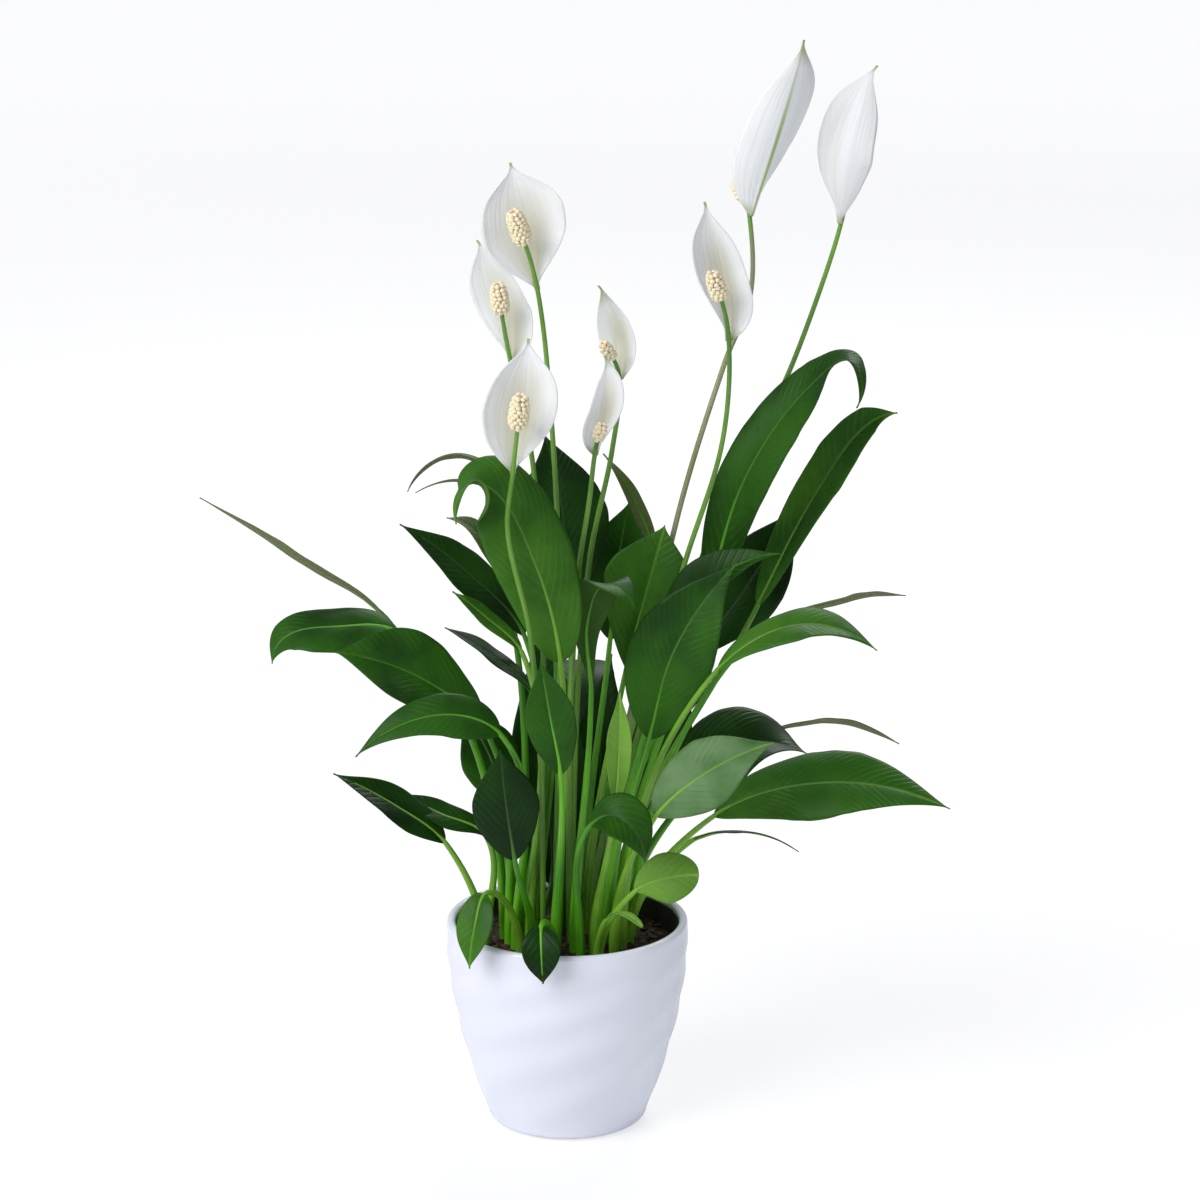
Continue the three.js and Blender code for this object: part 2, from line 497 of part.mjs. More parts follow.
function makeLeaves() {
  const byName = new Map();
  for (const leaf of LEAVES) {
    const solid = toSolid(solidOfRings(leafRings(leaf)));
    const known = byName.get(leaf.name);
    byName.set(leaf.name, { tone: leaf.tone, solid: known ? known.solid.add(solid) : solid });
  }
  return [...byName].map(([name, { tone, solid }]) =>
    piece("leaf_" + name, toGeometry(solid), COLOUR[tone], 0.35),
  );
}

// ---- Blooms -------------------------------------------------------------------------------

function stalkPath(bloom) {
  const points = [pathStart(bloom.root), ...[...bloom.by, bloom.foot, bloom.seat].map(vec)];
  return { path: pathThrough(points, UP), spans: points.length - 1 };
}

// The stalk, made thicker all round by extra.
function stalkGeometry(bloom, extra) {
  const { path, spans } = stalkPath(bloom);
  const stations = [{ point: buriedEnd(bloom.root), tangent: UP.clone(), radius: STALK.rootRadius }];
  for (const k of levels(0, spans, spans * STALK.stepsPerSpan)) {
    stations.push({ ...path(k), radius: mix(STALK.rootRadius, STALK.topRadius, k / spans) });
  }
  const half = STALK.sides / 2;
  const angles = levels(0.5 / half, 1 - 0.5 / half, half - 1).map((share) => Math.PI * (1 - share));
  const rings = stations.map(({ point, tangent, radius }) => {
    const { side, upper } = frameAt(tangent, bloom.face, 0);
    const spoke = (a) =>
      point
        .clone()
        .addScaledVector(side, (radius + extra) * Math.cos(a))
        .addScaledVector(upper, (radius + extra) * Math.sin(a));
    return [...angles.map(spoke), ...angles.map((a) => spoke(-a))];
  });
  return solidOfRings(rings);
}

// The half-width of a spathe as a share of its greatest: full in the middle, with a sharp tip.
function spatheShape(u, full) {
  return swell(u, full) ** (SPATHE.shoulder + SPATHE.foot * (1 - u) ** 3 + SPATHE.point * u ** 6);
}

function spatheGeometry(bloom) {
  const facing = new THREE.Vector3(Math.cos(radians(bloom.face)), Math.sin(radians(bloom.face)), 0);
  const foot = vec(bloom.foot).addScaledVector(facing, -SPATHE.behind);
  const tip = vec(bloom.tip);
  const middle = foot.clone().lerp(tip, SPATHE.middle).addScaledVector(facing, -bloom.bow);
  middle.x += bloom.lean;
  const start = middle.clone().sub(foot).addScaledVector(facing, -bloom.bow / 2);
  const path = pathThrough([foot, middle, tip], start);
  const rings = levels(0, 1, SPATHE.steps).map((u) => {
    const { point, tangent } = path(2 * u);
    const { side, upper } = frameAt(tangent, bloom.face + 180, 0);
    const least = mix(SPATHE.baseHalf, SPATHE.tipHalf, u);
    const line = (offset) =>
      levels(-1, 1, SPATHE.columns - 1).map((v) => {
        const full = bloom.full + bloom.skew * Math.sign(v);
        const half = Math.max(least, bloom.half * spatheShape(u, full));
        return point
          .clone()
          .addScaledVector(side, half * v)
          .addScaledVector(upper, half * bloom.cup * v ** 2 + offset);
      });
    return [...line(SPATHE.thickness / 2), ...line(-SPATHE.thickness / 2)];
  });
  return solidOfRings(rings);
}

// A blunt spike whose surface is raised into florets in slanting rows.
function makeSpadix(name, bloom) {
  const [radius, length] = bloom.spadix;
  const { path, spans } = stalkPath(bloom);
  const { point, tangent } = path(spans);
  const profile = levels(0, 1, SPADIX.along).map((s) => {
    const swelling = Math.min(1, SPADIX.neck + SPADIX.neckSwell * s);
    return new THREE.Vector2(radius * swelling * Math.sqrt(1 - s ** SPADIX.endPower), length * s);
  });
  profile.unshift(new THREE.Vector2(0, 0));
  const geometry = new THREE.LatheGeometry(profile, SPADIX.around);
  const at = geometry.attributes.position;
  for (let i = 0; i < at.count; i++) {
    const row = i % profile.length;
    const column = Math.floor(i / profile.length);
    const raised = (row + column) % 2 ? SPADIX.bump : -SPADIX.bump;
    const scale = row < 2 ? 1 : 1 + raised;
    at.setX(i, at.getX(i) * scale);
    at.setZ(i, at.getZ(i) * scale);
  }
  const mesh = piece(name, geometry, COLOUR.spadix, 0.7);
  mesh.position.copy(point).addScaledVector(tangent, GAP);
  mesh.quaternion.setFromUnitVectors(new THREE.Vector3(0, 1, 0), tangent);
  return mesh;
}

function makeBloom(bloom, number) {
  const group = new THREE.Group();
  const spathe = toSolid(spatheGeometry(bloom)).subtract(toSolid(stalkGeometry(bloom, GAP)));
  group.add(piece("stalk_" + number, stalkGeometry(bloom, 0), COLOUR.stalk, 0.5));
  group.add(piece("spathe_" + number, toGeometry(largestOf(spathe)), COLOUR.spathe, 0.5));
  group.add(makeSpadix("spadix_" + number, bloom));
  return group;
}

// ---- Assembly -----------------------------------------------------------------------------

const rootAt = (radius) => ({ root: [x, y] }) => ({ x, y, radius });
const sheaths = [...new Map(LEAVES.map((leaf) => [leaf.name, leaf])).values()];
const roots = [...sheaths.map(rootAt(PETIOLE.rootRadius)), ...BLOOMS.map(rootAt(STALK.rootRadius))];

const plant = new THREE.Group();
plant.add(piece("pot", makePot(), COLOUR.pot, 0.15));
plant.add(piece("soil", makeSoil(roots), COLOUR.soil, 0.95));
plant.add(...makeLeaves());
BLOOMS.forEach((bloom, i) => plant.add(makeBloom(bloom, i + 1)));

export default plant;
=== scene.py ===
"""A peace lily in bloom, in a white glazed pot with soft slanting ridges.

The tables of the plant and its pot are in millimetres; the pieces, the camera and the lights are in metres.
The origin is the centre of the pot's underside, +Z is up, +X is to the right and +Y away from someone who
looks at the plant's front.
"""
import math
import random

import bmesh
import bpy
from mathutils import Matrix, Vector, noise


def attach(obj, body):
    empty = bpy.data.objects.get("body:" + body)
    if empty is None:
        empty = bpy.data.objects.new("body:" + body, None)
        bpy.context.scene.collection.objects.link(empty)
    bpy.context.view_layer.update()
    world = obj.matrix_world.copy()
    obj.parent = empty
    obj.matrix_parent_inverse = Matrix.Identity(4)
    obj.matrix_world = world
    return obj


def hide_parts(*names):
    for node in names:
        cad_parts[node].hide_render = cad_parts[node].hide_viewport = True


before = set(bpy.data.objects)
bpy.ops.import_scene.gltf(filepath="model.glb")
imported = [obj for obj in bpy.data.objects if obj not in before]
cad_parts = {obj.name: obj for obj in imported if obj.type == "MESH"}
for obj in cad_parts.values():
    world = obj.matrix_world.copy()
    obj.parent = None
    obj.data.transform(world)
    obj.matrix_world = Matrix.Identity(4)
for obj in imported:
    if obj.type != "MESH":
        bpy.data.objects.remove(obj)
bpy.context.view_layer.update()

MM = 0.001
UP = Vector((0, 0, 1))

# ---- Sizes of the pot, the peat and the plant, in millimetres --------------------------------------

# The pot's last entry is how far below the rim the painted shade on its inner wall reaches.
POT = dict(height=122, belly_radius=70, belly_height=111, low_radius=44.5, wall_power=1.75,
           foot_radius=38.5, foot_height=5, wall=5, floor=7, inner_shade_depth=8)
RIDGES = dict(height=0.45, starts=5, bands=4.2, band_power=1.35, fade=0.14)
POT_STEPS = dict(round=160, foot=8, wall=64, lip=10, inside=24)
PEAT_TOP = 107
PEAT = dict(sink=1.2, heap=2.2, heap_spread=1400, gap=0.4, side_gap=0.5, rings=(90, 60, 30), grid=130)
CRUMBS = ((1.6, 7), (0.9, 2.6), (0.5, 1.2))  # the height and width of three sizes of crumb
BARK = dict(bits=230, seed=7, wall_gap=5, size=(0.9, 2.6), stretch=(1, 2.2), flatten=(0.3, 0.6),
            tilt=(-0.5, 0.5), rough=(0.75, 1.2), lift=0.25)
ROOT_DEPTH = 9
NEAR = 0.5  # a point this close to the inner wall counts as on it

# A petiole swells into a sheath low down, and runs on below the blade as its midrib for the share rib of
# the blade's length. The part of a petiole or stalk inside the peat is drawn over the share buried of a span
# of its path.
PETIOLE = dict(root=2.7, neck=1.5, end=0.25, buried=0.07, rib=0.837, sink=0.62, sheath=0.22, sheath_top=0.55,
               sheath_fade=0.3, rings=58, sides=10)
BLADE = dict(thick=0.55, tip_half=0.45, shoulder=0.8, wave_turn=9, wave_lag=1.3,
             groove=0.35, groove_half=1.3, quilt=0.03, flutter=1.1, flutter_length=15, swing=0.03,
             swing_length=9, rows=84, small_half=12, small_rows=60, columns=20)
VEINS = dict(gap=5.5, slant=0.95, curve=1.12)
STALK = dict(root=1.7, top=1.2, buried=0.12, rings=72, sides=12)
SPATHE = dict(thick=0.6, base_half=1.2, tip_half=0.4, behind=1.6, middle=0.45, shoulder=0.55, foot=0.6,
              point=1.5, keel=0.7, keel_half=1.4, flutter=0.13, flutter_rate=4.2, swing=0.05, swing_rate=5,
              green_tip=0.07, rows=56, columns=26)
SPADIX = dict(floret=2.9, packing=0.92, core_gap=2, stand=0.6, jitter=0.25, rings=16, sides=16)

# Leaves: where the petiole leaves the peat, the blade's neck, the places that its midrib passes by and
# its tip; its greatest half-width and where along it that is; the angle that it heads for, from +X towards
# +Y, and its roll round the midrib, both in degrees, as one number or as two for the neck and the tip; how
# its halves fold up, how their edges droop, and how high the edge waves; and the tone of the blade, and of
# the stem where that has another. Rows that share a name grow from one sheath and are one piece.
LEAF_FORM = dict(full=0.45, taper=0.5, roll=0, fold=0.2, droop=0.1, wave=1)  # unless a row says otherwise
LEAVES = [
    dict(name="right_tall", root=[29, 11], neck=[81, 34, 303],
         by=[[102, 32, 376], [137, 26, 430], [161, 10, 449]], tip=[163, -4, 425], half=17, full=0.36,
         turn=[75, -80], fold=0.3, droop=0.2, tone="mid"),
    dict(name="right_tall_back", root=[27, 28], neck=[111, 56, 294], by=[[147, 66, 363], [176, 64, 402]],
         tip=[191, 62, 408], half=13, full=0.38, turn=45, roll=[10, 20], fold=0.5, wave=1.5, tone="light"),
    dict(name="right_broad_back", root=[17, 33], neck=[78, 62, 262], by=[[106, 74, 302]],
         tip=[134, 80, 347], half=22, full=0.5, turn=80, roll=[0, 10], fold=0.25, droop=0.25, wave=2,
         tone="deep"),
    dict(name="right_inner", root=[24, -4], neck=[58, -12, 280], by=[[78, -15, 324]], tip=[121, -20, 345],
         half=15, turn=50, roll=[0, 10], fold=0.5, tone="mid"),
    dict(name="right_arching", root=[32, -14], neck=[84, -48, 284], by=[[131, -54, 313]],
         tip=[173, -62, 300], half=16, turn=-5, roll=[20, 15], fold=0.35, droop=0.3, wave=1.5, tone="light"),
    dict(name="right_edge", root=[38, 7], neck=[106, 40, 278], by=[[160, 45, 301]], tip=[197, 50, 302],
         half=12, turn=5, roll=[-24, -26], fold=0.1, wave=0.8, tone="olive"),
    dict(name="right_low_long", root=[36, -4], neck=[84, -15, 188], by=[[150, -20, 210]],
         tip=[218, -35, 199], half=24, turn=-8, roll=[36, 34], fold=0.25, droop=0.3, wave=2, tone="light"),
    dict(name="right_low_facing", root=[27, -25], neck=[50, -62, 203], by=[[80, -68, 232]],
         tip=[116, -70, 249], half=20, turn=50, roll=20, droop=0.25, wave=1.2, tone="painted_sheen"),
    dict(name="right_low_dark", root=[31, 19], neck=[68, 40, 195], by=[[101, 47, 213]], tip=[141, 38, 209],
         half=27, turn=45, roll=[15, 30], fold=0.25, droop=0.2, wave=1.5, tone="mid"),
    dict(name="right_low_edge", root=[35, 27], neck=[102, 70, 202], by=[[147, 80, 216]], tip=[197, 75, 204],
         half=14, turn=10, roll=[-22, -24], fold=0.15, tone="olive"),
    dict(name="right_low_long", root=[36, -4], neck=[73, 14, 164], by=[[104, 18, 168]], tip=[135, 14, 157],
         half=9, turn=0, roll=[-16, -18], fold=0.1, wave=0.5, tone="mid"),
    dict(name="rim_right", root=[18, -37], neck=[38, -50, 154], by=[[54, -56, 164]], tip=[75, -58, 167],
         half=14.5, full=0.58, taper=-0.35, turn=20, roll=62, droop=0.2, wave=0.6, tone="pale"),
    dict(name="rim_right", root=[18, -37], neck=[22, -48, 136], by=[[30, -57, 145]], tip=[43, -66, 139],
         half=3.2, full=0.6, taper=-0.35, turn=-60, fold=0, droop=0, wave=0, tone="pale"),
    dict(name="front_dark_small", root=[8, -33], neck=[13, -64, 198], by=[[29, -76, 208]],
         tip=[44, -84, 184], half=15, full=0.55, turn=0, roll=[40, 50], wave=0.6, tone="mid", stem="deep"),
    dict(name="centre_pale", root=[-6, -14], neck=[-3, -42, 287],
         by=[[-17, -47, 346], [-41, -52, 390], [-54, -60, 394]], tip=[-60, -69, 374], half=24, full=0.35,
         turn=[100, 225], fold=0.25, droop=0.25, wave=1.5, tone="light"),
    dict(name="back_top", root=[-4, 22], neck=[2, 48, 300], by=[[-3, 52, 353]], tip=[-13, 55, 397], half=26,
         turn=90, fold=0.3, droop=0.2, wave=1.5, tone="deep"),
    dict(name="left_top_edge", root=[-17, 14], neck=[-26, 22, 366], by=[[-62, 26, 392]], tip=[-91, 20, 371],
         half=13, turn=180, roll=16, fold=0.1, droop=0.2, wave=0.6, tone="olive"),
    dict(name="left_top_edge", root=[-17, 14], neck=[-30, 18, 364], by=[[-58, 14, 379]], tip=[-86, 10, 373],
         half=9, turn=180, roll=16, fold=0.1, wave=0.4, tone="olive"),
    dict(name="left_dark_pointed", root=[-22, -3], neck=[-24, 0, 291], by=[[-57, -5, 331]],
         tip=[-94, -8, 359], half=14, turn=170, roll=[-40, -30], fold=0.25, droop=0.2, tone="deep"),
    dict(name="left_bright_tip", root=[-22, -13], neck=[-25, -18, 286], by=[[-47, -22, 310]],
         tip=[-64, -24, 324], half=6, turn=180, roll=-40, wave=0.6, tone="light"),
    dict(name="left_pair", root=[-25, 7], neck=[-20, 14, 253], by=[[-45, 18, 276]], tip=[-70, 16, 292],
         half=10, turn=180, roll=-10, wave=0.6, tone="deep"),
    dict(name="left_pair", root=[-25, 7], neck=[-36, 32, 312], by=[[-51, 30, 345]], tip=[-69, 28, 354],
         half=9, turn=150, wave=0.6, tone="olive"),
    dict(name="back_pair", root=[8, 25], neck=[25, 68, 270], by=[[30, 72, 318]], tip=[36, 75, 352], half=20,
         turn=80, fold=0.25, droop=0.2, tone="mid"),
    dict(name="back_pair", root=[8, 25], neck=[52, 92, 309], by=[[40, 96, 346]], tip=[21, 96, 376], half=5,
         turn=120, fold=0.3, wave=0.6, tone="olive"),
    dict(name="back_high", root=[-16, 30], neck=[-10, 38, 128], by=[[-12, 46, 190]], tip=[-16, 56, 291],
         half=24, turn=95, fold=0.3, droop=0.2, wave=1.5, tone="deep"),
    dict(name="back_low_middle", root=[3, 36], neck=[0, 80, 190], by=[[6, 124, 232]], tip=[14, 170, 226],
         half=22, turn=85, fold=0.3, droop=0.3, wave=1.5, tone="deep"),
    dict(name="back_low_right", root=[26, 38], neck=[40, 82, 188], by=[[66, 118, 226]], tip=[88, 150, 222],
         half=19, turn=55, fold=0.3, droop=0.3, wave=1.5, tone="mid"),
    dict(name="centre_broad", root=[11, 13], neck=[34, 12, 268], by=[[46, 14, 315]], tip=[56, 18, 352],
         half=26, full=0.55, turn=85, fold=0.3, droop=0.2, wave=1.5, tone="light"),
    dict(name="centre_folded", root=[4, -20], neck=[14, -26, 266], by=[[12, -27, 308], [22, -34, 331]],
         tip=[38, -48, 320], half=14, full=0.6, turn=[-90, -50], tone="mid"),
    dict(name="centre_right_broad", root=[19, -14], neck=[47, -28, 238], by=[[61, -32, 292]],
         tip=[96, -36, 344], half=25, turn=75, fold=0.3, droop=0.2, wave=2, tone="mid"),
    dict(name="front_pair", root=[-7, -31], neck=[-3, -66, 229], by=[[-9, -68, 265]], tip=[-14, -66, 295],
         half=14, turn=90, fold=0.3, wave=0.6, tone="mid"),
    dict(name="front_young", root=[15, -28], neck=[28, -54, 208], by=[[30, -56, 246]], tip=[30, -56, 274],
         half=7, turn=85, fold=0.5, droop=0, wave=0.3, tone="pale"),
    dict(name="left_arching", root=[-34, -5], neck=[-45, -24, 240], by=[[-80, -34, 275]],
         tip=[-129, -44, 294], half=24, full=0.58, turn=190, roll=-48, fold=0.35, wave=1.5, tone="mid"),
    dict(name="left_upper", root=[-37, 5], neck=[-98, 2, 293], by=[[-130, 0, 297], [-161, -3, 291]],
         tip=[-168, -8, 277], half=18, full=0.4, turn=185, roll=-30, droop=0.3, wave=1.5, tone="mid"),
    dict(name="left_back_pair", root=[-31, 18], neck=[-104, 30, 293], by=[[-156, 34, 330]],
         tip=[-211, 36, 364], half=7, turn=180, roll=32, fold=0.1, wave=0.4, tone="olive"),
    dict(name="left_mid", root=[-30, -14], neck=[-37, -56, 250], by=[[-71, -66, 264]], tip=[-117, -74, 242],
         half=15, full=0.38, turn=190, roll=-40, droop=0.2, tone="mid"),
    dict(name="left_low", root=[-48, -10], neck=[-70, -12, 171], by=[[-97, -18, 195]], tip=[-133, -22, 216],
         half=13, turn=185, roll=[-40, -30], wave=1.4, tone="deep", stem="pale"),
    dict(name="left_low", root=[-48, -10], neck=[-47, -8, 174], by=[[-73, -6, 187]], tip=[-100, 2, 197],
         half=9, turn=185, roll=[-40, -30], tone="deep"),
    dict(name="left_round_dark", root=[-19, -22], neck=[-29, -56, 175], by=[[-34, -60, 212]],
         tip=[-37, -60, 242], half=19, turn=100, droop=0.3, tone="deep"),
    dict(name="left_back_pair", root=[-31, 18], neck=[-36, 20, 182], by=[[-46, 24, 214]],
         tip=[-62, 26, 240], half=18, turn=110, droop=0.2, tone="mid"),
    dict(name="rim_left", root=[-27, -24], neck=[-46, -52, 154], by=[[-52, -64, 138]], tip=[-55, -66, 114],
         half=11, turn=230, roll=-15, wave=0.5, tone="light"),
    dict(name="front_pair", root=[-7, -31], neck=[-14, -70, 141], by=[[-14, -81, 129]], tip=[-13, -80, 110],
         half=11, turn=-90, wave=0.4, tone="deep"),
    dict(name="back_top", root=[-4, 22], neck=[17, 46, 142], by=[[19, 62, 196]], tip=[26, 80, 258], half=18,
         turn=88, fold=0.3, droop=0.2, tone="deep"),
    dict(name="right_broad_back", root=[17, 33], neck=[45, 52, 164], by=[[57, 66, 208]], tip=[73, 74, 248],
         half=17, turn=75, fold=0.3, droop=0.2, tone="deep"),
]

# Blooms: where the stalk leaves the peat, the places that it passes by, the foot of the spathe, the seat
# of the spadix and the spathe's tip; the spathe's greatest half-width, where along it that is, and how
# much further up on one edge than on the other; the angle that it faces, as above; how far its middle
# bulges back and leans towards +X; how its edges cup; and the spadix's radius and length.
BLOOMS = [
    dict(root=[-7, 4], by=[[-4, 4, 311], [-8, 6, 410]], foot=[-16, 8, 490], seat=[-23, 1, 518],
         tip=[-31, 12, 561], half=24, full=0.56, skew=0.04, face=-90, bow=5, lean=0, cup=0.35,
         spadix=[6, 22]),
    dict(root=[-15, 2], by=[[-15, 12, 333], [-22, 14, 409]], foot=[-31, 10, 447], seat=[-36, 3, 478],
         tip=[-50, 14, 517], half=16, full=0.475, skew=-0.12, face=-110, bow=8, lean=3, cup=0.4,
         spadix=[5.5, 19]),
    dict(root=[-14, -12], by=[[-20, -60, 310], [-32, -63, 372]], foot=[-29, -60, 400],
         seat=[-26, -67, 428], tip=[-20, -56, 475], half=20, full=0.515, skew=0.06, face=-90, bow=5,
         lean=0, cup=0.35, spadix=[6, 22]),
    dict(root=[3, 6], by=[[13, 22, 330], [26, 24, 395]], foot=[30, 22, 436], seat=[26, 15, 450],
         tip=[18, 26, 489], half=11.5, full=0.42, skew=-0.05, face=-120, bow=8, lean=2, cup=0.5,
         spadix=[4, 15]),
    dict(root=[1, -6], by=[[7, -16, 334], [13, -18, 375]], foot=[16, -18, 401], seat=[18, -24, 412],
         tip=[22, -14, 457], half=9.5, full=0.46, skew=0.19, face=-100, bow=5, lean=3, cup=0.5,
         spadix=[4, 14]),
    dict(root=[20, 9], by=[[62, 26, 349], [90, 28, 445], [104, 28, 484]], foot=[103, 28, 529],
         seat=[101, 37, 537], tip=[132, 22, 628], half=18.5, full=0.555, skew=-0.17, face=115, bow=5,
         lean=-1, cup=0.4, spadix=[5, 23]),
    dict(root=[22, 19], by=[[92, 54, 360], [124, 54, 425], [144, 52, 480]], foot=[156, 50, 521],
         seat=[160, 60, 538], tip=[175, 50, 610], half=18, full=0.6, skew=0.08, face=62, bow=13, lean=-6,
         cup=0.5, spadix=[5.5, 22]),
    dict(root=[14, 3], by=[[66, 0, 330], [88, -2, 406]], foot=[91, -4, 463], seat=[86, -11, 489],
         tip=[77, 0, 541], half=15, full=0.48, skew=-0.16, face=-80, bow=5, lean=3, cup=0.4,
         spadix=[5.5, 18]),
]
GREEN_TIPS = {4: 0.24, 5: 0.16, 6: 0.14}  # the share of a spathe's length that is green at its tip
RIBBED = (6,)  # spathes whose back shows a strong green midrib
FADED_STALKS = (6,)  # stalks that have lost most of their green


# ---- Curves and frames -----------------------------------------------------------------------------

def mix(a, b, share):
    return a + (b - a) * share


def smooth(share):
    share = min(max(share, 0), 1)
    return share * share * (3 - 2 * share)


def path_through(points, start):
    """A smooth curve through points: cubic spans whose tangents halve the angle at each point."""
    chords = [b - a for a, b in zip(points, points[1:])]
    lengths = [chord.length for chord in chords]
    aims = [chord.normalized() for chord in chords]
    tangents = [start.normalized()]
    tangents += [(a + b).normalized() for a, b in zip(aims, aims[1:])]
    tangents.append((aims[-1] * (2 * aims[-1].dot(tangents[-1])) - tangents[-1]).normalized())

    def place(k):
        i = min(max(int(k), 0), len(chords) - 1)
        s = k - i
        ease = 3 * s**2 - 2 * s**3
        rate = 6 * s - 6 * s**2
        here, there = tangents[i] * lengths[i], tangents[i + 1] * lengths[i]
        point = (points[i] * (1 - ease) + here * (s - 2 * s**2 + s**3)
                 + points[i + 1] * ease + there * (s**3 - s**2))
        tangent = ((points[i + 1] - points[i]) * rate + here * (1 - 4 * s + 3 * s**2)
                   + there * (3 * s**2 - 2 * s))
        return point, tangent.normalized()

    return place


def frame_at(tangent, turn, roll):
    """The side and upper directions of a strip that runs along tangent and heads for the angle turn."""
    side = Vector((math.sin(math.radians(turn)), -math.cos(math.radians(turn)), 0))
    side = (side - tangent * side.dot(tangent)).normalized()
    upper = side.cross(tangent)
    tilt = Matrix.Rotation(math.radians(roll), 3, tangent)
    return tilt @ side, tilt @ upper


def both_ends(value):
    """The values at the neck and the tip, which may be given as one number."""
    return value if isinstance(value, list) else [value, value]


def swell(share, full):
    """A sine along a blade or spathe whose top lies at the share full of its length."""
    return max(0.0, math.sin(math.pi * min(max(share, 0), 1) ** (math.log(0.5) / math.log(full))))


# ---- Mesh helpers ----------------------------------------------------------------------------------

def finish_piece(name, bm, materials, slot, *nodes):
    """Turns a bmesh into a shown piece that stands for the named solids."""
    mesh = bpy.data.meshes.new(name)
    bmesh.ops.transform(bm, matrix=Matrix.Scale(MM, 4), verts=bm.verts)
    bm.to_mesh(mesh)
    bm.free()
    for material in materials:
        mesh.materials.append(material)
    mesh.polygons.foreach_set("use_smooth", [True] * len(mesh.polygons))
    piece = bpy.data.objects.new(name, mesh)
    bpy.context.scene.collection.objects.link(piece)
    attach(piece, "root")
    if nodes:
        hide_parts(*nodes)
    return piece


def gather(shells):
    """One bmesh with all the closed shells in it."""
    whole = bmesh.new()
    for shell in shells:
        mesh = bpy.data.meshes.new("shell")
        shell.to_mesh(mesh)
        shell.free()
        whole.from_mesh(mesh)
        bpy.data.meshes.remove(mesh)
    return whole


def make_tube(place_at, rings, sides):
    """A closed tube. place_at gives a ring's centre, two directions, its two radii and its length so far.

    The attribute place holds the angle round the tube, that length, and the share along.
    """
    bm = bmesh.new()
    place = bm.verts.layers.float_vector.new("place")
    bm.verts.layers.float.new("under")
    bmesh.ops.create_cone(bm, cap_ends=True, cap_tris=False, segments=sides, radius1=1, radius2=1, depth=1)
    upright = [e for e in bm.edges if abs(e.verts[0].co.z - e.verts[1].co.z) > 0.5]
    bmesh.ops.subdivide_edges(bm, edges=upright, cuts=rings - 1, use_grid_fill=True)
    stations = {}
    for vert in bm.verts:
        ring = round((vert.co.z + 0.5) * rings)
        if ring not in stations:
            stations[ring] = place_at(ring / rings)
        centre, side, upper, wide, deep, along = stations[ring]
        angle = math.atan2(vert.co.y, vert.co.x)
        vert.co = centre + side * (wide * math.cos(angle)) + upper * (deep * math.sin(angle))
        vert[place] = (angle / math.pi, along, ring / rings)
    bmesh.ops.recalc_face_normals(bm, faces=bm.faces)
    return bm


def make_sheet(point_at, rows, columns, thick, material):
    """A thin closed sheet, with the attribute under at 1 on its lower side.

    point_at takes the share along and the share across, from -1 to 1, and gives the point on the upper
    side, the way that side faces, and what the attribute place holds there.
    """
    bm = bmesh.new()
    place = bm.verts.layers.float_vector.new("place")
    under = bm.verts.layers.float.new("under")
    bmesh.ops.create_grid(bm, x_segments=rows, y_segments=columns, size=1)
    uppers = {}
    for vert in bm.verts:
        along, across = (vert.co.x + 1) / 2, vert.co.y
        vert.co, uppers[vert], vert[place] = point_at(along, across)
    bm.normal_update()
    widest = max(bm.faces, key=lambda f: f.calc_area())
    if widest.normal.dot(uppers[widest.verts[0]]) < 0:
        bmesh.ops.reverse_faces(bm, faces=bm.faces)
    for face in bm.faces:
        face.material_index = material
    bm.normal_update()
    bm.verts.ensure_lookup_table()
    count = len(bm.verts)
    bmesh.ops.solidify(bm, geom=bm.faces, thickness=thick)
    bm.verts.ensure_lookup_table()
    for vert in bm.verts[count:]:
        vert[under] = 1.0
    bmesh.ops.recalc_face_normals(bm, faces=bm.faces)
    return bm


# ---- Shader helpers --------------------------------------------------------------------------------

def feed(tree, node, values):
    """Gives a node's inputs numbers, colours or the outputs of other nodes."""
    for key, value in dict(values).items():
        if isinstance(value, bpy.types.NodeSocket):
            tree.links.new(value, node.inputs[key])
        else:
            node.inputs[key].default_value = value


def add_node(tree, kind, values=(), **settings):
    node = tree.nodes.new("ShaderNode" + kind)
    for key, value in settings.items():
        setattr(node, key, value)
    feed(tree, node, values)
    return node


def calc(tree, operation, a, b=0.0, clamp=False):
    return add_node(tree, "Math", {0: a, 1: b}, operation=operation, use_clamp=clamp).outputs[0]


def times(tree, a, b):
    return calc(tree, "MULTIPLY", a, b)


def plus(tree, a, b):
    return calc(tree, "ADD", a, b)


def minus(tree, a, b):
    return calc(tree, "SUBTRACT", a, b)


def blend_colour(tree, share, a, b):
    """From colour a to colour b by share. Each is a socket or its red, green and blue."""
    a, b = (c if isinstance(c, bpy.types.NodeSocket) else (*c, 1.0) for c in (a, b))
    return add_node(tree, "Mix", {0: share, 6: a, 7: b}, data_type="RGBA").outputs[2]


def remap(tree, value, low, high, out_low=0.0, out_high=1.0):
    values = {"Value": value, "From Min": low, "From Max": high, "To Min": out_low, "To Max": out_high}
    return add_node(tree, "MapRange", values, interpolation_type="SMOOTHSTEP").outputs[0]


def attribute(tree, name, output="Fac"):
    return add_node(tree, "Attribute", attribute_name=name).outputs[output]


def cloudy(tree, scale, detail, spot=None, rough=0.5):
    """Soft noise from 0 to 1 that is fixed to the piece, or drawn on the coordinates spot."""
    if spot is None:
        spot = add_node(tree, "TexCoord").outputs["Object"]
    values = {"Vector": spot, "Scale": scale, "Detail": detail, "Roughness": rough}
    return add_node(tree, "TexNoise", values).outputs[0]


def relief(tree, height, strength, distance):
    """Small bumps in a surface. The distance is in metres."""
    values = {"Strength": strength, "Distance": distance, "Height": height}
    return add_node(tree, "Bump", values).outputs[0]


